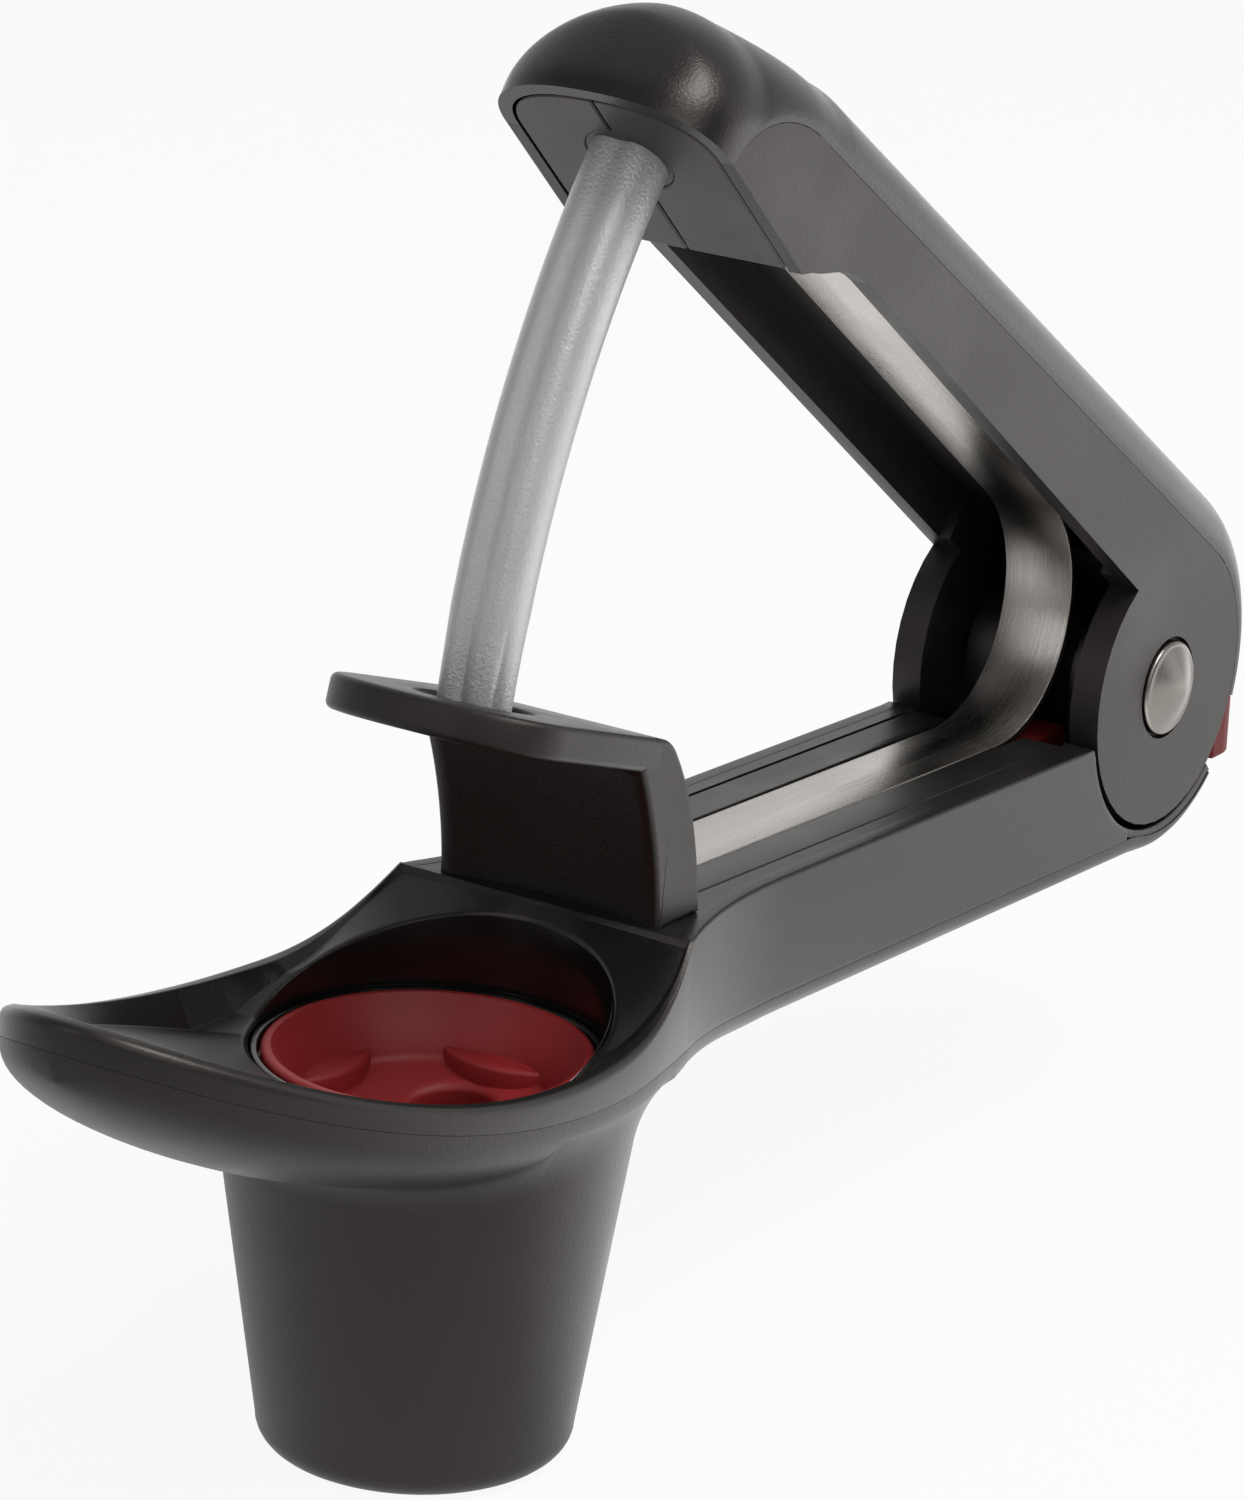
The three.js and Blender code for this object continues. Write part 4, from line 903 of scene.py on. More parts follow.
    def reach(self, angle: Array) -> Array:
        """Distance from the cup's axis to the tray's outer edge: the ridge's line, or the ellipse by halving.

        Args:
            angle: directions about the axis, in radians.

        Returns:
            The distances.
        """
        c, s = np.cos(angle), np.abs(np.sin(angle))
        low, high = np.full_like(angle, self.bore), np.full_like(angle, self.front - self.centre + 5)
        for _ in range(HALVINGS):
            mid = (low + high) / 2
            inside = (self.tray_half(mid * c) > mid * s) & (mid * c > self.tip)
            low, high = np.where(inside, mid, low), np.where(inside, high, mid)
        behind = np.arctan2(s, c) <= self.ridge_angle + 1e-9
        return np.where(behind, self.ridge / np.maximum(c, 1e-3), low)

    def angles(self, behind: int = 33, ahead: int = 300) -> Array:
        """Directions about the axis: across the ridge they follow h cos(turn), then they are even.

        Args:
            behind: how many lie across the ridge.
            ahead: how many steps lie round the front.

        Returns:
            The directions, in radians.
        """
        turn = np.linspace(0, np.pi, behind)
        rear = np.arctan2(self.shoulder * np.cos(turn), self.ridge)[::-1]
        front = np.linspace(self.ridge_angle, 2 * np.pi - self.ridge_angle, ahead + 1)[1:-1]
        return np.concatenate([rear, front])


FORM = ArmForm()


@dataclass
class LowerArm:
    """The upper and lower mouldings with their bore."""

    seam_gap: float = 0.035
    collar_gap: float = 0.3
    foot: float = 2.9
    outlet: float = 10.4
    wall: float = 2.2
    well: float = 16.9
    well_x: float = 124.15
    well_z: float = 9.95
    wall_end: float = -48.0
    skin: float = 0.03
    side_wall: float = 1.9
    side_lap: float = 0.6
    side_turn: tuple[float, float] = (10.8, 63.0)
    seam_lap: float = 0.12
    arm_edge: float = 0.7
    well_corner: float = 0.1
    bed_edge: float = 0.15
    screw_well: float = 3.0
    well_edge: float = 16.75
    well_start: float = 107.5
    seat_in: float = 16.62
    seat_out: float = 17.5
    seat_drop: float = 0.55
    seat_y: tuple[float, float] = (9.6, 13.2)
    seat_turn: tuple[float, float] = (-135.0, -47.0)
    rim_wall: tuple[float, float] = (1.8, 0.5)
    slope_run: tuple[float, float] = (1.5, 0.4)
    floor_border: tuple[float, float] = (1.1, 1.4)
    floor_room: float = 0.9
    floor_level: float = -1.0
    floor_slope: float = 0.34
    floor_centre: float = -8.5
    bore_round: float = 0.8
    ridge_points: int = 33
    front_steps: int = 620
    screw_places: tuple[float, ...] = (38.0, 76.0, 104.0)

    def build(self) -> list[bpy.types.Object]:
        """Makes the mouldings.

        Returns:
            The dressed pieces.
        """
        made = [
            settle(self.tray(), UPPER, Body.BASE, "base_frame"),
            settle(self.arm(), UPPER, Body.BASE, "base_frame"),
            settle(self.lower_moulding(), LOWER, Body.BASE, "cup_shell"),
            settle(carried("spring_bed", "spring_channel_bed", self.bed_edge), BED, Body.BASE, "spring_bed"),
            settle(self.bore(), GLOSS, Body.BASE),
        ]
        made += [settle(self.arm_side(side), UPPER, Body.BASE, "base_frame") for side in (-1, 1)]
        return made + [settle(self.cheek_seat(side), LOWER, Body.BASE, "cup_shell") for side in (-1, 1)]

    def arm_side(self, side: int) -> bpy.types.Object:
        """The arm's outer wall and its rounded top edge, as one closed section carried along the arm.

        At each x the section stands on the half width and the arm's top, skin proud of them, and its top
        corner is an arc of radius arm_edge. Beside the cheek its top is the lower arc of the cheek's well.

        Args:
            side: 1 for the left side and -1 for the right one.

        Returns:
            The new object.
        """
        turn = np.radians(np.linspace(*self.side_turn, 48))
        front = FORM.ridge + np.array([-0.04, 0.1, 0.3, 0.6])
        x = np.concatenate([front, np.linspace(FORM.ridge + 1, 56, 92), np.linspace(58, self.well_start, 24),
                            self.well_x - self.well_edge * np.cos(turn)])
        proud = self.skin * (0.2 + 0.8 * ease(x, FORM.ridge, FORM.ridge + 1))
        wall, foot = FORM.half_width(x) + proud, FORM.seam(x) + self.seam_lap
        well = self.well_z - np.sqrt(np.maximum(0, self.well_edge ** 2 - (x - self.well_x) ** 2))
        top = np.minimum(FORM.arm_top(x) + proud, np.where(x > self.well_start, well, np.inf))
        near = np.minimum(self.arm_edge + 0.15, 0.4 * (top - foot))
        inner, back = wall - self.side_wall, wall - self.side_lap
        corners = np.stack([np.stack(corner, -1) for corner in (
            (wall, foot), (wall, foot + 0.5 * near), (wall, top - near), (wall, top), (inner, top),
            (inner, top - 0.4), (back, np.maximum(top - 1.2, foot + 0.1)), (back, foot))], 1)
        radii = np.tile([0.05, 0.0, 0.0, self.arm_edge, 0.02, 0.0, 0.0, 0.0], (len(x), 1))
        beside = ease(x, self.well_start - 3.5, self.well_start + 1)
        radii[:, 3] += (self.well_corner - self.arm_edge) * beside
        section = rounded(corners, radii)
        along = np.broadcast_to(x[:, None], section.shape[:2])
        rings = np.stack([along, section[..., 0] * side, section[..., 1]], -1)
        return grid_mesh(f"upper_moulding_side_{SIDE_NAMES[side]}", rings, sharp=50)

    def cheek_seat(self, side: int) -> bpy.types.Object:
        """The curved seat under a cheek: a rounded oblong section carried round the hinge, under it.

        Its inner face draws away from the cheek by seat_drop towards the rear end.

        Args:
            side: 1 for the left side and -1 for the right one.

        Returns:
            The new object.
        """
        a = np.radians(np.linspace(*self.seat_turn, 84))[:, None]
        low, high = self.seat_y
        near, far = self.seat_in, self.seat_out
        section = rounded([[near, low], [far, low], [far, high], [near, high]], 0.15, 3)
        inward = (far - section[:, 0]) / (far - near)
        r = section[:, 0] - self.seat_drop * np.linspace(0, 1, len(a))[:, None] * inward
        y = np.broadcast_to(section[:, 1] * side, r.shape)
        rings = np.stack([LAYOUT.hinge_x + r * np.cos(a), y, LAYOUT.hinge_z + r * np.sin(a)], -1)
        return grid_mesh(f"cheek_seat_{SIDE_NAMES[side]}", rings, sharp=50)

    def tray(self) -> bpy.types.Object:
        """The tray round the cup, one closed section for each direction.

        The section runs up the bore, out over the floor, up the slope to the rim, round the rim, down the
        outer wall to the seam and back along the underside; its corners are arcs.

        Returns:
            The new object, with its bore edge, floor and slope marked as polished.
        """
        a = FORM.angles(self.ridge_points, self.front_steps)
        c, s = np.cos(a), np.sin(a)
        reach = FORM.reach(a)
        x = reach * c
        back = ease(x, 0, FORM.ridge)

        def mix(front: float, rear: float) -> Array:
            """A size that eases from the front of the tray to its ridge."""
            return front + (rear - front) * back

        inner = np.maximum(FORM.bore + self.floor_border[1], reach - mix(*self.rim_wall))
        foot = np.maximum(FORM.bore + self.floor_border[0], inner - mix(*self.slope_run))
        edge = FORM.bore_edge(FORM.bore * c)
        rim = np.where(x > FORM.ridge - 0.01, FORM.arm_top(np.full_like(x, FORM.ridge)), FORM.rim(x))
        plane = self.floor_level - self.floor_slope * (foot * c - self.floor_centre)
        floor = np.clip(plane, edge + 0.1, rim - self.floor_room)
        foot_z = floor + (edge + (rim - edge) * 0.75 - floor) * back
        collar = np.minimum(FORM.collar, reach - FORM.collar_border)
        seat = np.full_like(a, FORM.seat)
        bore = np.full_like(a, FORM.bore)
        corners = np.stack([np.stack(corner, -1) for corner in (
            (bore, seat), (bore, edge), (foot, foot_z), (inner, rim), (reach, rim), (reach, FORM.seam(x)),
            (collar, seat))], 1)
        none = np.zeros_like(a)
        radii = np.stack([none, none + self.bore_round, mix(0.3, 0.2), mix(0.35, 0.12), mix(1.4, 0.05),
                          none + 0.1, none], 1)
        section = rounded(corners, radii, ARC_STEPS)
        r, z = section[..., 0], section[..., 1]
        rings = np.stack([r * c[:, None], r * s[:, None], z], -1)
        polish = np.zeros(rings.shape[:2])
        first, last = ARC_STEPS + 1, 3 * (ARC_STEPS + 1) + 3
        polish[:, first:last] = 1.0
        return grid_mesh("upper_moulding_tray", rings, loop=True, sharp=28, polish=polish)

    def arm(self) -> bpy.types.Object:
        """The arm behind the ridge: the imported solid's own faces, cut off at the ridge.

        Returns:
            The new object.
        """
        made = carried("base_frame", "upper_moulding_arm", 0.3)
        bm = bmesh.new()
        bm.from_mesh(made.data)
        cut = LAYOUT.row(np.array([FORM.ridge + 0.01, 0.0, 0.0]))
        bmesh.ops.bisect_plane(bm, geom=[*bm.verts, *bm.edges, *bm.faces], dist=1e-7, plane_co=tuple(cut),
                               plane_no=(1, 0, 0), clear_inner=True)
        bm.to_mesh(made.data)
        bm.free()
        made.data.set_sharp_from_angle(angle=math.radians(FACET_TURN))
        return made

    def cup_sections(self, a: Array) -> Array:
        """Closed sections of the hull and the cup, one for each direction, of shape (directions, points, 3).

        Outward along the flat joint, down at the edge, inward under the hull with its points crowded at the
        edge by a sine, through a fillet that leans towards the corner, down the cup's cone, round its foot,
        in to the outlet and up the inside.

        Args:
            a: the directions about the cup's axis, in radians.

        Returns:
            The sections' points.
        """
        c, s = np.cos(a), np.sin(a)
        reach = FORM.reach(a)
        edge_x = reach * c
        low, high = np.full_like(a, FORM.cup_radius), reach.copy()

        def cone(r: Array) -> Array:
            """The cup's outer wall at radius r."""
            return (r - FORM.cup_radius) / FORM.cup_slope - LAYOUT.cup_height

        for _ in range(HALVINGS):
            mid = (low + high) / 2
            above = FORM.under(mid * c, mid * s) > cone(mid)
            low, high = np.where(above, mid, low), np.where(above, high, mid)
        corner = np.stack([low, cone(low)], -1)
        out = np.minimum(low + FORM.flare, reach - 0.15)
        start = np.stack([out, FORM.under(out * c, out * s)], -1)
        end_z = corner[:, 1] - FORM.flare
        end = np.stack([FORM.cup_radius + FORM.cup_slope * (end_z + LAYOUT.cup_height), end_z], -1)
        w = np.sin(np.linspace(np.pi / 2, 0, 22))[:, None]
        r = out + (reach - out) * w
        hull = np.stack([r, FORM.under(r * c, r * s)], -1)
        t = np.linspace(0, 1, 14)[1:, None, None]
        fillet = leaning(start, corner, end, t)
        base = -LAYOUT.cup_height
        heel_r = FORM.cup_radius + FORM.cup_slope * self.foot
        k = np.linspace(0, np.pi / 2, 9)
        heel = np.stack([heel_r - self.foot * (1 - np.cos(k)), base + self.foot * (1 - np.sin(k))], -1)
        inside = FORM.cup_radius - self.wall
        rise = np.linspace(0, 1, 9)[1:-1, None, None]
        wall = end * (1 - rise) + heel[0] * rise
        outlet, within = self.outlet, base + self.wall
        tail = np.array([[outlet + 0.3, base], [outlet, base + 0.3], [outlet, within], [inside - 1.0, within],
                         [inside + 0.7, base + 4.4], [inside + 5.2, -6.3], [15.0, -5.3],
                         [15.0, FORM.seat - self.collar_gap]])
        fixed = np.broadcast_to(np.vstack([heel, tail])[:, None], (len(heel) + len(tail), len(a), 2))
        collar = np.minimum(FORM.collar, reach - FORM.collar_border) + self.collar_gap
        joint = np.stack([collar, np.full_like(a, FORM.seat - self.collar_gap)], -1)
        edge = np.stack([reach, FORM.seam(edge_x) - self.seam_gap], -1)
        section = np.concatenate([joint[None], edge[None], hull, fillet, wall, fixed]).transpose(1, 0, 2)
        return np.stack([section[..., 0] * c[:, None], section[..., 0] * s[:, None], section[..., 1]], -1)

    def arm_rings(self) -> Array:
        """Closed sections along the arm's underside and round the heel, of shape (stations, points, 3).

        Each has the points h cos(turn) across its underside and the same points back along its joint. Behind
        the hinge's middle the sections turn about it, and the underside's depth eases into the rear wall's.

        Returns:
            The sections' points.
        """
        turn = np.linspace(0, np.pi, self.ridge_points)[::-1]
        q = np.sin(turn) ** 0.8
        neck = np.linspace(FORM.ridge, FORM.ridge + FORM.neck, 26)
        x = np.concatenate([neck, np.linspace(neck[-1] + 1.5, self.well_x, 50)])
        half = FORM.half_width(x)[:, None]
        top = FORM.seam(x) - self.seam_gap
        circle = self.well_z - np.sqrt(np.maximum(0, self.well ** 2 - (x - self.well_x) ** 2))
        top = np.minimum(top, np.where(np.abs(x - self.well_x) < self.well, circle, np.inf))[:, None]
        side = np.minimum(FORM.seam(x)[:, None] - FORM.hull_lip, top)
        floor = (FORM.seam(x) - FORM.hull_depth(x))[:, None]
        y = half * np.cos(turn)
        low = np.stack(np.broadcast_arrays(x[:, None], y, side - (side - floor) * q), -1)
        high = np.stack(np.broadcast_arrays(x[:, None], y, top), -1)
        straight = np.concatenate([low, high[:, ::-1]], 1)
        a = np.linspace(-90, self.wall_end, 26)[1:]
        hinge = np.array(self.well_x)
        heel = self.well_z - float(FORM.seam(hinge)) + float(FORM.hull_depth(hinge))
        outer = heel + (self.well + 2.0 - heel) * (a + 90) / 45
        c, s = np.cos(np.radians(a))[:, None], np.sin(np.radians(a))[:, None]
        r = self.well + (outer[:, None] - self.well) * q
        y = np.broadcast_to(LAYOUT.arm_half * np.cos(turn), r.shape)
        low = np.stack([self.well_x + r * c, y, self.well_z + r * s], -1)
        flat = np.full_like(r, self.well)
        high = np.stack([self.well_x + flat * c, y, self.well_z + flat * s], -1)
        return np.concatenate([straight, np.concatenate([low, high[:, ::-1]], 1)])

    def lower_moulding(self) -> bpy.types.Object:
        """The hull with the cup and the arm's underside, joined in the ridge's plane, with its screw wells.

        Returns:
            The new object.
        """
        a = FORM.angles(self.ridge_points)
        cup, arm = self.cup_sections(a), self.arm_rings()
        across = self.ridge_points
        arm[0, :across] = cup[:across, 2]
        arm[0, across:] = cup[:across, 1][::-1]
        n, m = cup.shape[:2]
        around = quads(n, m, loop=True)
        keep = np.ones(around.shape[:2], bool)
        keep[:across - 1, 1] = False
        rows, points = arm.shape[:2]
        along = quads(rows, points, first=n * m)
        last = n * m + (rows - 1) * points
        cap = last + np.arange(points)
        made = build_mesh("lower_moulding_shell", np.vstack([cup.reshape(-1, 3), arm.reshape(-1, 3)]),
                          [around[keep], along.reshape(-1, 4)], [cap[None]], 28)
        return carve(made, *(self.well_cutter(x) for x in self.screw_places))

    def well_cutter(self, x: float) -> bpy.types.Object:
        """A screw's well: a round pocket with a soft mouth, turned about the screw's line.

        Args:
            x: the screw's place along the arm.

        Returns:
            The object that cuts the well.
        """
        low = float(FORM.seam(np.array(x)) - FORM.hull_depth(np.array(x)))
        r = self.screw_well
        profile = np.array([[r + 0.6, low - 2], [r + 0.6, low - 0.1], [r + 0.15, low + 0.25], [r, low + 0.6],
                            [r, low + 2.6]])
        return grid_mesh("well", turned(profile, 48) + np.array([x, 0, 0]))

    def bore(self) -> bpy.types.Object:
        """The bore's polished wall: a thin band whose top follows the tray's floor round the bore.

        Returns:
            The new object.
        """
        a = np.linspace(0, 2 * np.pi, 160, endpoint=False)
        x, y = np.cos(a), np.sin(a)
        top = FORM.bore_edge(FORM.bore * x)
        out, inside = FORM.bore + 0.05, FORM.bore - 0.05
        low = np.full_like(a, FORM.seat + 0.1)
        band = ((out, low), (inside, low), (inside, top - 0.3), (inside + 0.04, top - 0.15), (out, top - 0.2))
        rings = np.stack([np.stack([r * x, r * y, z], -1) for r, z in band])
        return grid_mesh("bore_wall", rings, loop=True)


@dataclass
class FruitInsert:
    """The red insert: a dish with four lens lugs and an outlet that leans back with the rod's path."""

    radius: float = 16.5
    wall: float = 1.6
    floor_radius: float = 12.4
    depth: float = 6.0
    fall: float = 3.2
    lip: float = 1.1
    outlet_x: float = 4.3
    outlet_half: float = 4.4
    sleeve: float = 6.0
    lean: float = 1.1
    sleeve_wall: float = 1.2
    lug_offset: float = 11.1
    lug_radius: float = 10.4
    lug_half: float = 1.9
    lug_height: float = 1.4
    lug_round: float = 0.5
    edge: float = 0.55
    fillet: float = 1.3
    throat_round: float = 1.5
    ring_outer: float = 17.55
    ring_top: float = -0.25
    ledge: float = -1.55
    segments: int = 160

    def oval(self, shift: float, extra: float, z: Array | float) -> Array:
        """An ellipse about the outlet: longer along X by the lean, wider all round by extra.

        Args:
            shift: how far it leans back.
            extra: how much wider it is than the outlet.
            z: its height.

        Returns:
            Its points, of shape (segments, 3).
        """
        a = np.linspace(0, 2 * np.pi, self.segments, endpoint=False)
        x = self.outlet_x + shift + (self.outlet_half + shift + extra) * np.cos(a)
        return np.stack([x, (self.outlet_half + extra) * np.sin(a), np.broadcast_to(z, a.shape)], -1)

    def floor(self, points: Array) -> Array:
        """The dish's floor is a shallow cone that falls towards the axis."""
        reach = np.hypot(points[..., 0], points[..., 1])
        return -self.depth - self.fall * (1 - np.minimum(1, reach / self.floor_radius))

    def dish(self) -> bpy.types.Object:
        """Rings run from the sleeve's foot up its outside, under the dish, over the lip and down the throat.

        Over the cone, circles turn into the outlet's oval by a straight mix, and the oval's edge is a quarter
        circle that rolls down into the throat.

        Returns:
            The new object.
        """
        floor, w = -self.depth, self.wall
        lip, reach = self.radius - self.lip, self.floor_radius
        arc = np.linspace(0, np.pi / 2, 7)
        edge = np.stack([self.radius + self.edge * (np.cos(arc) - 1), self.edge * (np.sin(arc) - 1)], -1)
        turn = arc[::-1] - np.pi / 2
        round_way = np.stack([np.cos(turn), np.sin(turn)], -1)
        fillet = self.fillet * round_way + [reach - self.fillet, floor + 1.0]
        skin = np.array([[reach - 1.2, floor - w - 0.3], [reach - 0.2, floor - w + 0.8], [lip - 0.4, -1.3],
                         [self.radius, -1.25]])
        middle = [(lip + reach) / 2 + 0.1, (floor + 1.3) / 2]
        inner = np.array([[lip + 0.1, -0.03], [lip - 0.12, -0.4], middle])
        circles = turned(np.vstack([skin, edge, inner, fillet]), self.segments)
        foot, lean, thick = floor - self.sleeve, self.lean, self.sleeve_wall
        root = floor - w - 1.9
        under = [self.oval(lean / 2, thick - 0.3, foot), self.oval(lean / 2, thick, foot + 0.3),
                 self.oval(lean / 4, thick, root), self.oval(lean / 4, thick + 0.6, root + 0.5)]
        share = np.linspace(0, 1, 12)[1:, None, None]
        cone = circles[-1] * (1 - share) + self.oval(0, self.throat_round, 0.0) * share
        cone[..., 2] = self.floor(cone)
        mouth = []
        for k in np.linspace(0, np.pi / 2, 9)[1:]:
            ring = self.oval(0, self.throat_round * (1 - math.sin(k)), 0.0)
            ring[:, 2] = cone[-1][:, 2] - 1.1 * (1 - math.cos(k))
            mouth.append(ring)
        mouth += [self.oval(lean / 4, 0, foot + 2.6), self.oval(lean / 2, 0, foot + 0.3),
                  self.oval(lean / 2, 0.3, foot)]
        return grid_mesh("insert_dish", np.concatenate([under, circles, cone, mouth]), loop=True, sharp=55)

    def lugs(self) -> list[bpy.types.Object]:
        """Four lenses, each two arcs of lug_radius that meet at their tips, pulled up with a rounded crest.

        Returns:
            The four new objects.
        """
        half = math.acos((self.lug_radius - self.lug_half) / self.lug_radius)
        a = np.linspace(-half, half, 25)[:-1]
        side = np.stack([-self.lug_radius * np.sin(a), self.lug_radius * (np.cos(a) - 1) + self.lug_half], -1)
        lens = np.vstack([side, -side])
        made = []
        for i in range(4):
            turn = i * math.pi / 2
            c, s = math.cos(turn), math.sin(turn)

            def place(p: Array, z: Array) -> Array:
                """Stands the lens off the outlet and turns it into its quarter."""
                x, y = p[:, 0], p[:, 1] + self.lug_offset
                return np.stack([x * c - y * s, x * s + y * c, z], -1)

            rings = pulled(lens, -self.depth - 1.2, -self.depth + self.lug_height, self.lug_round, place)
            made.append(grid_mesh(f"insert_lug_{i + 1}", rings, sharp=60))
        return made

    def ring(self) -> bpy.types.Object:
        """The gloss ring that holds the insert: a stepped profile with a rounded top, turned about the axis.

        Returns:
            The new object.
        """
        outer, inner, ledge = self.ring_outer, self.radius + 0.25, self.radius - 1.2
        low, top = FORM.seat, self.ring_top
        corners = [[ledge, low], [outer, low], [outer, top], [inner, top], [inner, self.ledge],
                   [ledge, self.ledge]]
        profile = rounded(corners, [0.1, 0.1, 0.2, 0.35, 0.1, 0.1], 4)
        return grid_mesh("insert_ring_polished", turned(profile, 144), loop=True)

    def build(self) -> list[bpy.types.Object]:
        """Makes the insert and its ring.

        Returns:
            The dressed pieces.
        """
        made = [settle(self.dish(), RED_RUBBER, Body.BASE, "insert_cup")]
        made += [settle(lug, RED_RUBBER, Body.BASE) for lug in self.lugs()]
        return made + [settle(self.ring(), GLOSS, Body.BASE, "insert_ring")]


@dataclass
class Guard:
    """The fixed guard that strips the fruit off the rod: a plate over the cup, and the wall that holds it."""

    plate: float = 3.6
    stand: float = 0.6
    rim: float = 0.75
    back: float = 1.2
    back_corner: float = 0.95
    slot: float = 6.1
    slot_flare: float = 0.4
    base: float = 7.7
    top: float = 4.4
    border: float = 1.15
    hollow: float = 2.0
    seat: float = 9.7
    front: float = 19.8
    edge: float = 0.6
    corner: float = 1.5
    side_gap: float = 0.02
    flush: float = 0.02
    tuck: float = 1.0

    def on_plate(self, u: Array, y: Array, off: Array) -> Array:
        """A point u along the closed head's plane from its back edge, y across it and off from it."""
        s, t = HEAD.point(u, off)
        return LAYOUT.lever(s, y, t, LAYOUT.closing)

    def outline(self) -> Array:
        """The plate's outline: a rounded back, straight sides and a superellipse round the nose.

        Returns:
            Points (u, y) of the closed outline.
        """
        half, r = LAYOUT.arm_half, self.back_corner
        w = np.linspace(0, np.pi, 61)
        u = HEAD.side + HEAD.nose * np.sin(w)
        y = half * np.sign(np.cos(w)) * np.maximum(0, 1 - np.sin(w) ** HEAD.square) ** (1 / HEAD.square)
        k = np.linspace(0, np.pi / 2, 8)
        left = np.stack([self.back + r - r * np.cos(k), -half + r - r * np.sin(k)], -1)[::-1]
        right = left[::-1] * [1, -1]
        return np.vstack([np.stack([u, y], -1), left, right])

    def plate_body(self) -> bpy.types.Object:
        """The plate with rounded rims, less a round slot whose mouths flare by a quarter circle.

        Returns:
            The new object.
        """
        low, high = -self.stand - self.plate, -self.stand

        def place(points: Array, heights: Array) -> Array:
            """Lays the outline's points on the plate."""
            return self.on_plate(points[:, 0], points[:, 1], heights)

        body = grid_mesh("guard_plate", pulled(self.outline(), low, high, self.rim, place, 5), sharp=60)
        k, flare = np.linspace(0, np.pi / 2, 6), self.slot_flare
        mouth = np.stack([self.slot + flare * (1 - np.cos(k)), high - flare + flare * np.sin(k)], -1)
        top = np.array([[self.slot + flare + 0.5, high + 1.5]])
        foot = mouth[::-1] * [1, -1] + [0, high + low]
        profile = np.vstack([foot[:1] - [-0.5, 1.5], foot, mouth, top])
        a = np.linspace(0, 2 * np.pi, 96, endpoint=False)
        u = HEAD.rod_place(-self.stand) + profile[:, :1] * np.cos(a)
        heights = np.broadcast_to(profile[:, 1:], u.shape)
        return carve(body, grid_mesh("slot", self.on_plate(u, profile[:, :1] * np.sin(a), heights)))

    def wall_lines(self, t: Array) -> tuple[Array, Array]:
        """The middle profile in two parts: the front, and the rest from the plate round to the front's foot.

        The front and the rear are quadratic curves, and the corner over them is a third.

        Args:
            t: where the front and the rear have their points, from 0 to 1.

        Returns:
            The front's points and the other points, as (x, z).
        """
        low_n, high_n = np.array(-self.stand - self.plate), np.array(-self.stand)
        zero = np.array(0.0)
        back_low = self.on_plate(np.array(self.top), zero, low_n)[[0, 2]]
        back_top = self.on_plate(zero, zero, high_n)[[0, 2]]
        low = np.array([self.front, self.seat])
        front = leaning(low, np.array([self.front - 0.2, (self.seat + back_low[1]) / 2]), back_low, t)
        rear_low = low + [self.base, 0]
        rear_bend = np.array([rear_low[0] - 0.6, (self.seat + back_top[1]) / 2 + 2])
        rear = leaning(rear_low, rear_bend, back_top, t)
        sunk = -self.stand - self.flush
        along = np.array([self.top + 0.3, self.top + 0.3, self.corner + 1.5, self.corner])
        off = np.array([-self.plate, -self.stand - self.tuck, sunk, sunk])
        top = self.on_plate(along, np.zeros(4), off)[:, [0, 2]]
        down = rear[-1] - rear[-8]
        down = back_top - self.corner * down / np.linalg.norm(down)
        bend = leaning(top[-1], back_top, down, np.linspace(0, 1, 9)[1:, None])
        rear = rear[rear[:, 1] < down[1] - 0.1][::-1]
        foot = leaning(rear[-1], (rear[-1] + low) / 2, low, np.linspace(0, 1, 7)[1:-1, None])
        return front, np.vstack([top, bend, rear, foot])

    def wall_body(self) -> bpy.types.Object:
        """The wall and the plate's back corner in one: at each y a closed profile, drawn in at the two sides.

        Between its borders the front is set back by hollow (1 - (y / reach)^2), and the side's rounding is a
        quarter circle.

        Returns:
            The new object.
        """
        half = LAYOUT.arm_half - self.side_gap
        over = half - self.edge + self.edge * np.sin(np.linspace(0, np.pi / 2, 9))
        side = np.concatenate([np.linspace(0, half - self.border, 19), over])
        t = np.concatenate([[0.0], np.linspace(0.07, 0.9, 24), np.linspace(0.92, 1, 10)])[:, None]
        front, others = self.wall_lines(t)
        fade = 1 - ease(t[:, 0], 0.97, 0.995)
        rings = []
        for at in np.concatenate([-side[::-1], side[1:]]):
            set_back = self.hollow * max(0.0, 1 - (at / (half - self.border)) ** 2) * fade
            profile = np.vstack([front + np.stack([set_back, 0 * set_back], -1), others])
            past = max(0.0, abs(at) - (half - self.edge))
            drawn = inset(profile, self.edge - math.sqrt(max(0.0, self.edge ** 2 - past ** 2)))
            rings.append(np.stack([drawn[:, 0], np.full(len(drawn), at), drawn[:, 1]], -1))
        for end, at in ((0, -half), (len(rings) + 1, half)):
            flat = inset(profile, self.edge + 0.12)
            rings.insert(end, np.stack([flat[:, 0], np.full(len(flat), at), flat[:, 1]], -1))
        return grid_mesh("guard_wall", np.stack(rings), sharp=40)

    def build(self) -> list[bpy.types.Object]:
        """Makes the guard."""
        return [settle(self.plate_body(), GUARD, Body.BASE, "guard_bracket"),
                settle(self.wall_body(), GUARD, Body.BASE, "guard_bracket")]


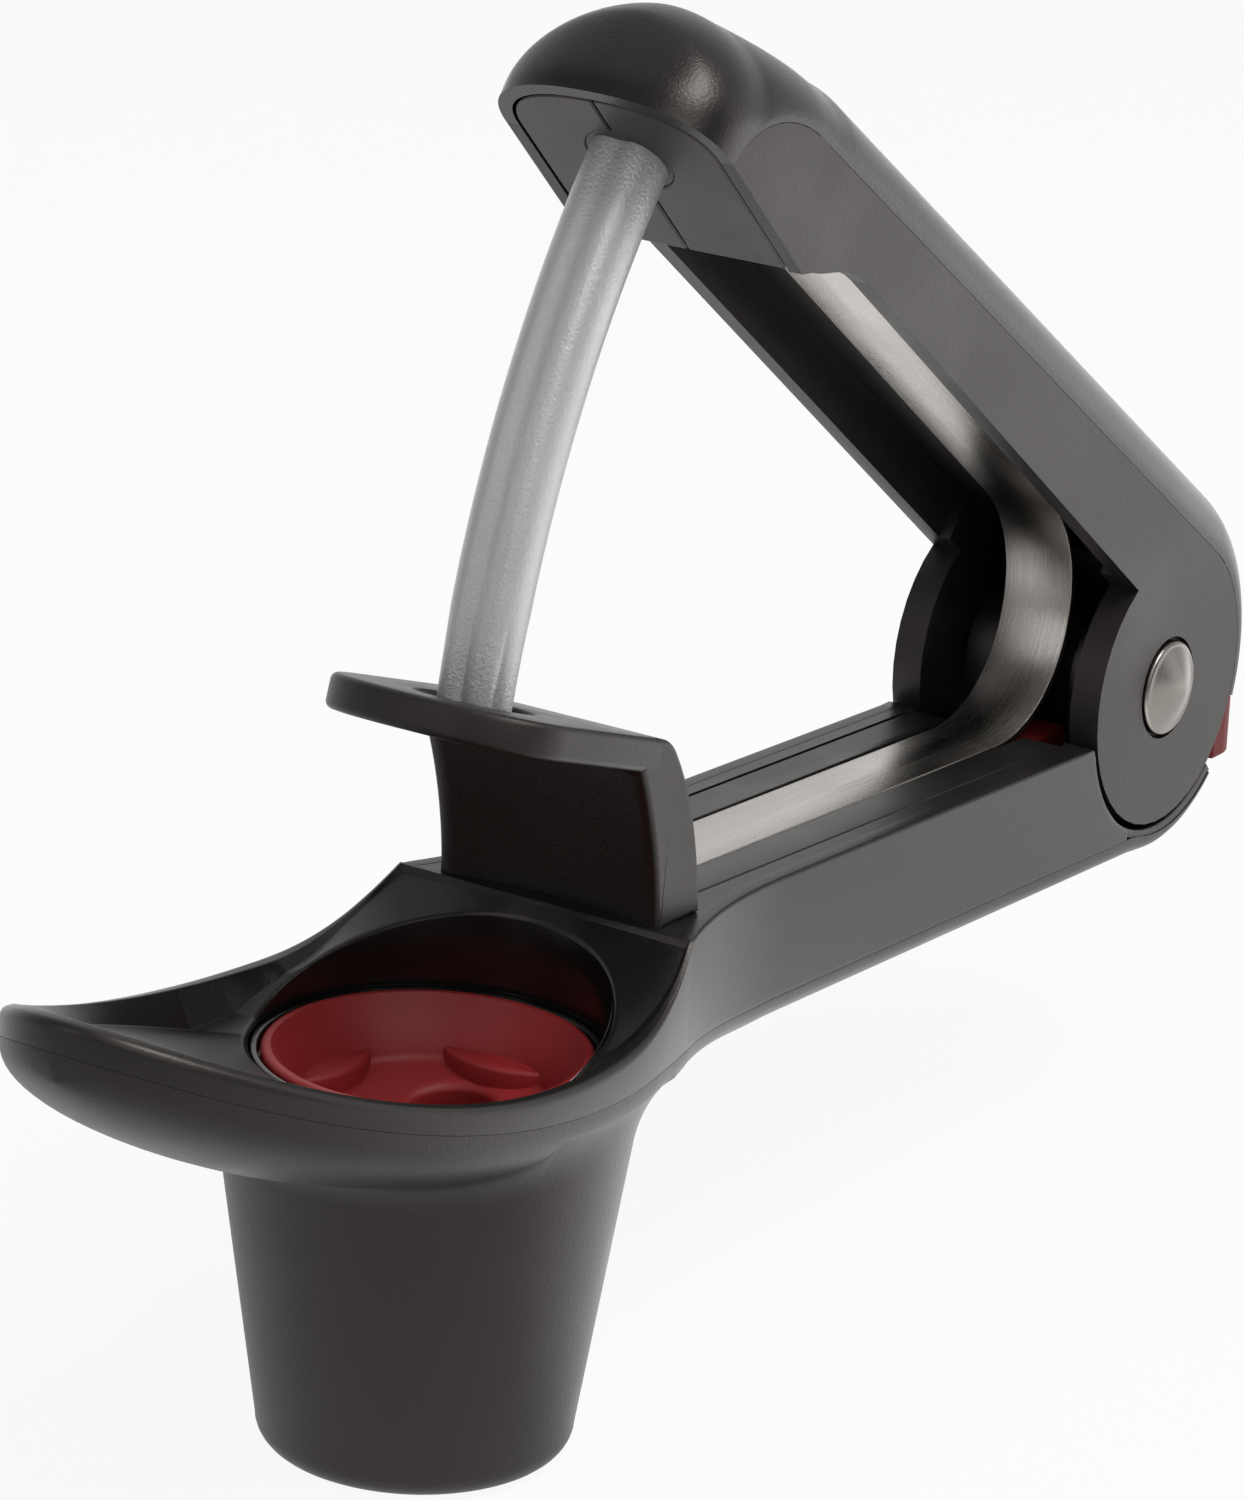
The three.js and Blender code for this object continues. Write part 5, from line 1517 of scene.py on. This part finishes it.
@dataclass
class LeafSpring:
    """The spring that lifts the lever: a strip that lies in the bed, bends round and runs up in the lever."""

    half: float = 4.3
    thick: float = 0.8
    start: float = 31.6
    bend_start: float = 101.6
    bend_radius: float = 14.2
    end_s: float = 99.0
    seat: float = 9.8
    edge: float = 0.12
    blend_x: float = 115.0
    blend_z: tuple[float, float] = (9.0, 32.0)

    def path(self) -> Array:
        """The strip's upper face: a line along the bed, an arc of bend_radius, and a line up the lever.

        Returns:
            Points (x, z) along it.
        """
        slope = math.radians(LAYOUT.lever_open)
        a0, a1 = -math.atan(FORM.top_fall), math.pi - slope
        low = np.linspace(self.start, self.bend_start, 36)
        line = np.stack([low, self.seat - FORM.top_fall * (low - FORM.ridge)], -1)
        centre = line[-1] + self.bend_radius * np.array([-math.sin(a0), math.cos(a0)])
        a = np.linspace(a0, a1, 49)[1:] - math.pi / 2
        arc = centre + self.bend_radius * np.stack([np.cos(a), np.sin(a)], -1)
        way = np.array([math.cos(a1), math.sin(a1)])
        hinge = np.array([LAYOUT.hinge_x, LAYOUT.hinge_z])
        reach = (hinge - arc[-1]) @ np.array([math.cos(slope), -math.sin(slope)])
        run = np.linspace(0, self.end_s - reach, 30)[1:, None]
        return np.vstack([line, arc, arc[-1] + run * way])

    def strip(self) -> bpy.types.Object:
        """A rounded oblong section of width 2 half and depth thick, carried along the path.

        Returns:
            The new object.
        """
        path = self.path()
        step = np.gradient(path, axis=0)
        step /= np.linalg.norm(step, axis=1, keepdims=True)
        out = np.stack([step[:, 1], -step[:, 0]], -1)
        corners = [[-self.half, 0], [self.half, 0], [self.half, self.thick], [-self.half, self.thick]]
        section = rounded(corners, self.edge, 3)
        x, z = (path[:, i:i + 1] + out[:, i:i + 1] * section[:, 1] for i in (0, 1))
        return grid_mesh("leaf_strip", np.stack([x, np.broadcast_to(section[:, 0], x.shape), z], -1))

    def build(self) -> list[bpy.types.Object]:
        """Makes the strip and bakes its placement into its points; it rides on no body.

        Returns:
            The dressed pieces.
        """
        strip = settle(self.strip(), SPRING, None, "leaf_spring")
        start, end = LAYOUT.row(np.array([[self.blend_x, 0.0, z] for z in self.blend_z]))
        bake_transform(strip)
        return [strip]


@dataclass
class Lever:
    """The sprung upper lever: panel, soft grip, head plates, rod and hinge rivet."""

    top: float = 16.7
    fall: float = 0.0364
    crown: float = 8.2
    crown_powers: tuple[float, float] = (1.83, 1.9)
    side_rise: float = 0.6
    knee_end: float = 70.0
    knee_thin: float = 0.6
    cheek: float = 15.8
    shoulder: float = 106.5
    shoulder_foot: tuple[float, float] = (13.0, 8.2)
    tip_wall: float = 3.7
    fall_start: float = 2.3
    fall_power: float = 1.14
    shoulder_drop: float = 0.4
    foot_rise: float = 0.3
    least: float = 0.05
    lip: float = 1.0
    bay_border: float = 1.5
    bay_depth: float = 3.3
    seam_gap: float = 0.05
    panel_edge: float = 0.35
    plate_edge: float = 0.2
    rod_radius: float = 4.15
    rod_taper: float = 0.07
    groove: float = 0.8
    groove_turn: float = -5.0
    flute: float = 0.7
    flute_run: float = 5.5
    rod_tip: float = 10.2
    rod_tip_round: float = 0.8
    root_angle: float = 4.3
    collar: tuple[float, float] = (3.1, 4.8)
    collar_height: tuple[float, float] = (0.1, 2.4)
    rivet_radius: float = 5.4
    rivet_brow: float = 0.5
    rivet_crown: float = 1.75
    rivet_stem: float = 2.5
    rivet_seat: float = 0.7

    def top_line(self, s: Array) -> Array:
        """The panel's top edge: it falls by a small share of s."""
        return self.top - self.fall * s

    def arch(self, rho: Array) -> Array:
        """The crown's height over its side, for a distance rho from its ridge, where 1 is the side."""
        across, up = self.crown_powers
        return self.crown * np.maximum(0, 1 - np.abs(rho) ** across) ** (1 / up)

    def bulge(self, turn: float) -> float:
        """Radius of the panel's edge round the knee: from the top line down to the cheek disc's radius."""
        return self.cheek + (self.top - self.cheek) * (1 - float(ease(turn, 0, 90)))

    def arm_section(self, c: Array, edge: float, thin: float = 1.0) -> tuple[Array, Array]:
        """A closed section of the grip over the panel: a low wall at each side and the arch between them.

        Its two feet are repeated so that it has as many points as a section over the head.

        Args:
            c: cosines across the section, from 1 to -1.
            edge: the height of the panel's edge.
            thin: the arch's share of its full height.

        Returns:
            The points' distances across the lever and their heights.
        """
        y = LAYOUT.arm_half * np.concatenate([[1], c, [-1, -1, -1, 1, 1]])
        foot = edge + self.seam_gap
        return y, np.concatenate([[foot], edge + self.side_rise + thin * self.arch(c), [foot] * 5])

    def grip(self) -> bpy.types.Object:
        """The soft grip: at each station a side wall from the panel's edge, then an arch to the other side.

        Round the knee the stations fan about the hinge and the arch thins; along the arm they slide along s;
        over the head the side's height eases down to the lip and the arch's distance also counts the nose.

        Returns:
            The new object.
        """
        c = np.cos(np.linspace(0, np.pi, 61))
        rings = []
        for turn in np.linspace(self.knee_end, 0, 30)[:-1]:
            thin = 1 - self.knee_thin * float(ease(turn / self.knee_end, 0, 1))
            y, r = self.arm_section(c, self.bulge(turn), thin)
            a = math.radians(90 - turn)
            rings.append(LAYOUT.lever(-r * math.cos(a), y, r * math.sin(a)))
        for s in np.linspace(0, HEAD.point(self.fall_start)[0], 44)[:-1]:
            rings.append(LAYOUT.lever(s, *self.arm_section(c, self.top_line(s))))
        sides = np.linspace(self.fall_start, HEAD.side, 24)
        nose = HEAD.side + HEAD.nose * np.sin(np.linspace(0, np.pi / 2, 34))[1:]
        bay_end = HEAD.tip - self.bay_border + np.array([-0.35, -0.12, -0.02, 0.02])
        rings += [self.head_ring(float(u), c) for u in np.sort(np.concatenate([sides, nose, bay_end]))]
        return grid_mesh("soft_grip", np.stack(rings), sharp=45)

    def head_ring(self, u: float, c: Array) -> Array:
        """A closed section of the grip over the head: lip, dome and the bay under it that takes the plates.

        The dome's foot is the panel's edge or the lip, and its height over it is the crown's rounding of c.

        Args:
            u: distance from the head's back edge.
            c: cosines across the section, from 1 to -1.

        Returns:
            The section's points.
        """
        s, under = HEAD.point(u)
        s_fall, under_fall = HEAD.point(self.fall_start)
        full = self.top_line(s_fall) - under_fall
        wide = max(0.04, float(HEAD.half_width(u)))
        fallen = np.clip((u - self.fall_start) / (HEAD.tip - self.fall_start), 0, 1) ** self.fall_power
        front = max(0.0, (u - HEAD.side) / HEAD.nose)
        lowered = (self.tip_wall - self.lip) * float(ease(front, 0.6, 1))
        wall = self.tip_wall + (full - self.tip_wall) * (1 - fallen) - lowered
        ridge = under + wall + self.least + float(self.arch(min(1.0, front)))
        edge = self.edge_line(float(s)) if u < HEAD.side else -99.0
        before, past = self.shoulder_foot
        rise = float(ease(-u, -HEAD.side - past, before - HEAD.side))
        shoulder = self.top_line(self.shoulder) - self.shoulder_drop
        foot = max(edge + self.foot_rise, under + self.lip + (shoulder - under - self.lip) * rise)
        foot = min(ridge - self.least, foot)
        low = max(edge + self.seam_gap, under)
        over_bay = u < HEAD.tip - self.bay_border
        bay_half = float(HEAD.half_width(u, self.bay_border)) if over_bay else 0.0
        bay = max(low, under + self.bay_depth) if bay_half > 0 else low
        y = np.concatenate([[wide], wide * c, [-wide, -bay_half, -bay_half, bay_half, bay_half]])
        dome = foot + 0.02 + (ridge - foot) * self.arch(c) / self.crown
        t = np.concatenate([[low], dome, [low, low, bay, bay, low]])
        return LAYOUT.lever(s, y, np.maximum(t, low))

    def edge_line(self, s: float) -> float:
        """The panel's front edge under the grip: a cubic curve from the shoulder to the lip's straight end.

        Args:
            s: a distance from the hinge.

        Returns:
            The edge's height there.
        """
        end_s, end_t = HEAD.point(HEAD.side)
        high = self.top_line(self.shoulder)
        p = np.array([[self.shoulder + 4, high - 0.1], [end_s - 6.5, high - self.shoulder_drop],
                      [end_s - 1.0, end_t + 5.5], [end_s, end_t]])
        v = np.linspace(0, 1, 60)[:, None]
        curve = p[0] * (1 - v) ** 3 + 3 * p[1] * v * (1 - v) ** 2 + 3 * p[2] * v * v * (1 - v) + p[3] * v ** 3
        if s <= curve[0, 0]:
            return float(self.top_line(s))
        return float(np.interp(s, curve[:, 0], curve[:, 1]))

    def rod(self) -> bpy.types.Object:
        """The rod: a grooved round section carried along an arc about the hinge.

        The radius is rod_radius less a groove at the front and the back, a high power of the cosine, and less
        six V flutes, (1 - |sin 3a|)^2, that fade out above the tip; a quarter circle draws the tip in.

        Returns:
            The new object.
        """
        a = np.linspace(0, 2 * np.pi, 144, endpoint=False)
        turn = a - math.radians(self.groove_turn)
        tip = self.rod_tip - LAYOUT.lever_open
        k = np.linspace(0, np.pi / 2, 7)
        near = tip + math.degrees(self.rod_tip_round / HEAD.rod_path) * (1 - np.cos(k))
        angles = np.concatenate([near, np.linspace(near[-1], self.root_angle, 90)[1:]])
        draw = np.concatenate([self.rod_tip_round * (1 - np.sin(k)), np.zeros(89)])
        along = np.clip((angles - tip) / (self.root_angle - tip), 0, 1)
        fade = np.maximum(0, 1 - (angles - tip) / self.flute_run)[:, None]
        flutes = self.flute * fade * (1 - np.abs(np.sin(3 * turn))) ** 2
        cut = self.groove * np.abs(np.cos(turn)) ** 10 + flutes
        r = (self.rod_radius - cut) * (1 + self.rod_taper * (along - 1))[:, None] - draw[:, None]
        reach = HEAD.rod_path + r * np.cos(a)
        way = np.radians(angles)[:, None]
        rings = LAYOUT.lever(reach * np.cos(way), r * np.sin(a), reach * np.sin(way))
        return grid_mesh("fluted_rod", rings, sharp=60)

    def rod_collar(self) -> bpy.types.Object:
        """The ring that closes the socket round the rod's root: an oblong turned on the head's lower face.

        Returns:
            The new object.
        """
        (near, far), (low, high) = self.collar, self.collar_height
        profile = rounded([[near, low], [far, low], [far, high], [near, high]], 0.2, 3)
        a = np.linspace(0, 2 * np.pi, 64, endpoint=False)
        s, t = HEAD.point(HEAD.rod_place() + profile[:, :1] * np.cos(a), profile[:, 1:])
        rings = LAYOUT.lever(s, profile[:, :1] * np.sin(a), t)
        return grid_mesh("rod_collar", rings.swapaxes(0, 1), loop=True, sharp=50)

    def rivet(self, side: int) -> bpy.types.Object:
        """One rivet head: a low cone with a rounded brow over a short skirt, turned about the hinge line.

        Args:
            side: 1 for the left side and -1 for the right one.

        Returns:
            The new object.
        """
        face, out, r = LAYOUT.arm_half - self.rivet_seat, LAYOUT.arm_half, self.rivet_brow
        k = np.linspace(0, np.pi / 2, 12)
        brow = np.stack([self.rivet_radius - r * (1 - np.cos(k)), out + r * np.sin(k)], -1)
        rise = 1 - np.linspace(1, 0, 20) ** 1.5
        cone = np.stack([np.linspace(self.rivet_radius - r, 0.02, 20), out + r + self.rivet_crown * rise], -1)
        stem = self.rivet_stem
        skirt = [[stem - 0.1, 5.0], [stem, 5.0], [stem, face], [self.rivet_radius, face]]
        profile = np.vstack([skirt, brow, cone[1:]])
        rings = turned(profile, 96)
        s, y, t = rings[..., 0], rings[..., 2] * side, rings[..., 1]
        return grid_mesh(f"hinge_rivet_{SIDE_NAMES[side]}", LAYOUT.lever(s, y, t), sharp=50)

    def build(self) -> list[bpy.types.Object]:
        """Makes the lever's pieces.

        Returns:
            The dressed pieces.
        """
        made = [
            settle(carried("lever_frame", "lever_panel", self.panel_edge), LEVER, Body.LEVER, "lever_frame"),
            settle(self.grip(), GRIP, Body.LEVER, "grip_shell"),
            settle(self.rod(), DIECAST, Body.LEVER, "pitting_rod"),
            settle(self.rod_collar(), PLATE_PAINTED_BOUNCE, Body.LEVER, "head_plate_left", "head_plate_right"),
            settle(self.rivet(-1), RIVET, Body.LEVER, "hinge_pin"),
            settle(self.rivet(1), RIVET, Body.LEVER, "hinge_cap"),
        ]
        for side in ("left", "right"):
            cover = carried(f"head_plate_{side}", f"head_cover_{side}", self.plate_edge)
            made.append(settle(cover, PLATE_PAINTED_BOUNCE, Body.LEVER, f"head_plate_{side}"))
        return made


@dataclass
class Latch:
    """The red slide that locks the closed lever."""

    round_off: float = 1.0

    def build(self) -> list[bpy.types.Object]:
        """Makes the slide."""
        slide = carried("latch_slider", "red_latch", self.round_off)
        return [settle(slide, RED_PLASTIC, Body.LATCH, "latch_slider")]


# ---------------------------------------------------------------------------------------- studio
@dataclass
class Studio:
    """Camera, floor, lamps and surroundings."""

    position: tuple[float, float, float] = (-0.51365, -0.32445, 0.26019)
    azimuth: float = 32.979
    down: float = 18.178
    roll: float = 2.719
    lens: float = 148.8
    centre: tuple[float, float, float] = (0.0, 0.0, 0.07)
    dim_world: float = 0.16
    lamps: list[tuple[str, tuple[float, float, float], float, float, float]] = field(default_factory=lambda: [
        ("key", (0.06, -0.52, 1.12), 0.6, 0.45, 9.0),
        ("top", (0.1, 0.25, 1.15), 0.9, 0.7, 0.7),
        ("left", (-1.0, 0.35, 0.55), 0.4, 0.9, 1.4),
        ("right", (0.75, -0.85, 0.3), 0.5, 0.9, 1.0),
        ("front", (-0.75, -0.85, 0.9), 1.3, 1.1, 4.5),
    ])
    sweep_way: tuple[float, float] = (0.85, 0.4)
    sweep_gain: float = 0.8
    sweep_level: float = 0.35
    sweep_light: float = 0.85
    sweep_low: float = 0.25
    sweep_fall: float = 0.58
    floor_half: float = 1.5
    floor_grey: float = 0.8
    floor_share: float = 0.92
    # pool_* and gloss_* shape the floor's painted glow, seen only by glossy rays: a lean and a brighter pool
    # that light the object's reflections.
    pool_place: tuple[float, float] = (0.03, -0.05)
    pool_narrow: float = 13.0
    pool_light: float = 0.95
    gloss_lean: tuple[float, float] = (1.7, -0.25)
    gloss_level: float = 0.38
    gloss_top: float = 1.3
    gloss_gain: float = 1.3
    gloss_low: float = 0.55

    def camera(self) -> None:
        """Places the camera, which looks along d (azimuth, down); the roll turns its right and up vectors."""
        a, e, k = (math.radians(v) for v in (self.azimuth, self.down, self.roll))
        d = Vector((math.cos(a) * math.cos(e), math.sin(a) * math.cos(e), -math.sin(e)))
        r = Vector((math.sin(a), -math.cos(a), 0))
        u = r.cross(d)
        right, up = math.cos(k) * r + math.sin(k) * u, -math.sin(k) * r + math.cos(k) * u
        camera = bpy.data.cameras.new("camera")
        camera.lens, camera.sensor_width, camera.sensor_fit = self.lens, 36, "AUTO"
        camera.clip_start, camera.clip_end = 0.01, 20
        seat = bpy.data.objects.new("camera", camera)
        seat.matrix_world = Matrix((
            (right.x, up.x, -d.x, self.position[0]), (right.y, up.y, -d.y, self.position[1]),
            (right.z, up.z, -d.z, self.position[2]), (0, 0, 0, 1)))
        bpy.context.scene.collection.objects.link(seat)
        bpy.context.scene.camera = seat

    def light(self) -> None:
        """Soft area lamps, each aimed at the middle of the object."""
        for name, place, width, height, power in self.lamps:
            lamp = bpy.data.lights.new(name, "AREA")
            lamp.shape, lamp.size, lamp.size_y, lamp.energy = "RECTANGLE", width, height, power
            seat = bpy.data.objects.new(name, lamp)
            seat.location = place
            seat.rotation_euler = (Vector(self.centre) - Vector(place)).to_track_quat("-Z", "Y").to_euler()
            bpy.context.scene.collection.objects.link(seat)

    def surroundings(self) -> None:
        """White for the eye, a sweep for gloss that is bright behind the object, and dim for light."""
        world = bpy.data.worlds.new("studio")
        world.use_nodes = True
        world.node_tree.nodes.clear()
        n = Nodes(world.node_tree)
        way = n.add("ShaderNodeSeparateXYZ")
        n.join(n.add("ShaderNodeTexCoord").outputs["Generated"], way.inputs[0])
        ahead = n.math("MULTIPLY", way.outputs["X"], self.sweep_way[0])
        behind = n.math("ADD", ahead, n.math("MULTIPLY", way.outputs["Y"], self.sweep_way[1]))
        share = n.math("ADD", n.math("MULTIPLY", behind, self.sweep_gain), self.sweep_level, clamp=True)
        level = n.math("ADD", n.math("MULTIPLY", share, self.sweep_light), self.sweep_low)
        fall = n.math("MULTIPLY", way.outputs["Z"], self.sweep_fall)
        sweep = n.math("SUBTRACT", level, fall, clamp=True)
        rays = n.add("ShaderNodeLightPath").outputs
        gloss = n.math("MULTIPLY", rays["Is Glossy Ray"], sweep)
        eye = n.math("MAXIMUM", rays["Is Camera Ray"], rays["Is Transmission Ray"])
        strength = n.math("MAXIMUM", n.math("MAXIMUM", eye, gloss), self.dim_world)
        light, end = n.add("ShaderNodeBackground"), n.add("ShaderNodeOutputWorld")
        light.inputs["Color"].default_value = (1, 1, 1, 1)
        n.join(strength, light.inputs["Strength"])
        n.join(light.outputs[0], end.inputs["Surface"])
        bpy.context.scene.world = world

    def floor_painted_glow(self, n: Nodes) -> bpy.types.NodeSocket:
        """How brightly the floor glows to glossy rays, a painted reflection light: it leans with X and Y, with
        a brighter painted pool of light under the arm.

        Args:
            n: the floor material's nodes.

        Returns:
            The strength's socket.
        """
        place = n.add("ShaderNodeSeparateXYZ")
        n.join(n.add("ShaderNodeTexCoord").outputs["Object"], place.inputs[0])
        lean, out = 0.0, 0.0
        for axis, slope, centre in zip("XY", self.gloss_lean, self.pool_place):
            lean = n.math("ADD", n.math("MULTIPLY", place.outputs[axis], slope), lean)
            off = n.math("MULTIPLY", n.math("SUBTRACT", place.outputs[axis], centre), self.pool_narrow)
            out = n.math("ADD", n.math("MULTIPLY", off, off), out)
        pool = n.math("SUBTRACT", 1.0, out, clamp=True)
        lit = n.math("MULTIPLY", pool, self.pool_light)
        share = n.math("ADD", n.math("ADD", lean, self.gloss_level), lit)
        share = n.math("MINIMUM", n.math("MAXIMUM", share, 0.0), self.gloss_top)
        return n.math("ADD", n.math("MULTIPLY", share, self.gloss_gain), self.gloss_low)

    def floor(self) -> None:
        """A pale floor: matte under the lamps with a faint shadow and mostly white to the eye. To glossy rays
        it gives a painted glow that the object's gloss reflects.
        """
        h = self.floor_half
        mesh = bpy.data.meshes.new("floor")
        mesh.from_pydata([(-h, -h, 0), (h, -h, 0), (h, h, 0), (-h, h, 0)], [], [(0, 1, 2, 3)])
        floor = bpy.data.objects.new("floor", mesh)
        bpy.context.scene.collection.objects.link(floor)
        made = bpy.data.materials.new("pale_floor")
        made.use_nodes = True
        made.node_tree.nodes.clear()
        n = Nodes(made.node_tree)
        matte = n.add("ShaderNodeBsdfDiffuse")
        glow, painted_glow = n.add("ShaderNodeEmission"), n.add("ShaderNodeEmission")
        matte.inputs["Color"].default_value = (*[self.floor_grey] * 3, 1)
        glow.inputs["Color"].default_value = (1, 1, 1, 1)
        glow.inputs["Strength"].default_value = 1.0
        painted_glow.inputs["Color"].default_value = (1, 1, 1, 1)
        # painted reflection light: the floor glows for glossy rays, though it is no lamp
        n.join(self.floor_painted_glow(n), painted_glow.inputs["Strength"])
        rays = n.add("ShaderNodeLightPath").outputs
        eye, gloss = n.add("ShaderNodeMixShader"), n.add("ShaderNodeMixShader")
        n.join(n.math("MULTIPLY", rays["Is Camera Ray"], self.floor_share), eye.inputs[0])
        n.join(matte.outputs[0], eye.inputs[1])
        n.join(glow.outputs[0], eye.inputs[2])
        n.join(rays["Is Glossy Ray"], gloss.inputs[0])
        n.join(eye.outputs[0], gloss.inputs[1])
        n.join(painted_glow.outputs[0], gloss.inputs[2])
        n.join(gloss.outputs[0], n.add("ShaderNodeOutputMaterial").inputs["Surface"])
        mesh.materials.append(made)

    def build(self) -> None:
        """Sets the whole studio up."""
        self.camera()
        self.light()
        self.surroundings()
        self.floor()
        bpy.context.scene.view_settings.view_transform = "Standard"


def main() -> None:
    """Builds the studio and the pitter, and reports each piece."""
    logging.basicConfig(level=logging.INFO, format="%(name)s: %(message)s")
    Studio().build()
    dress_packed_nodes()
    for part in (LowerArm(), FruitInsert(), Guard(), LeafSpring(), Lever(), Latch()):
        for piece in part.build():
            log.info("%s: %s, %d faces", type(part).__name__, piece.name, len(piece.data.polygons))


if __name__ == "__main__":
    main()
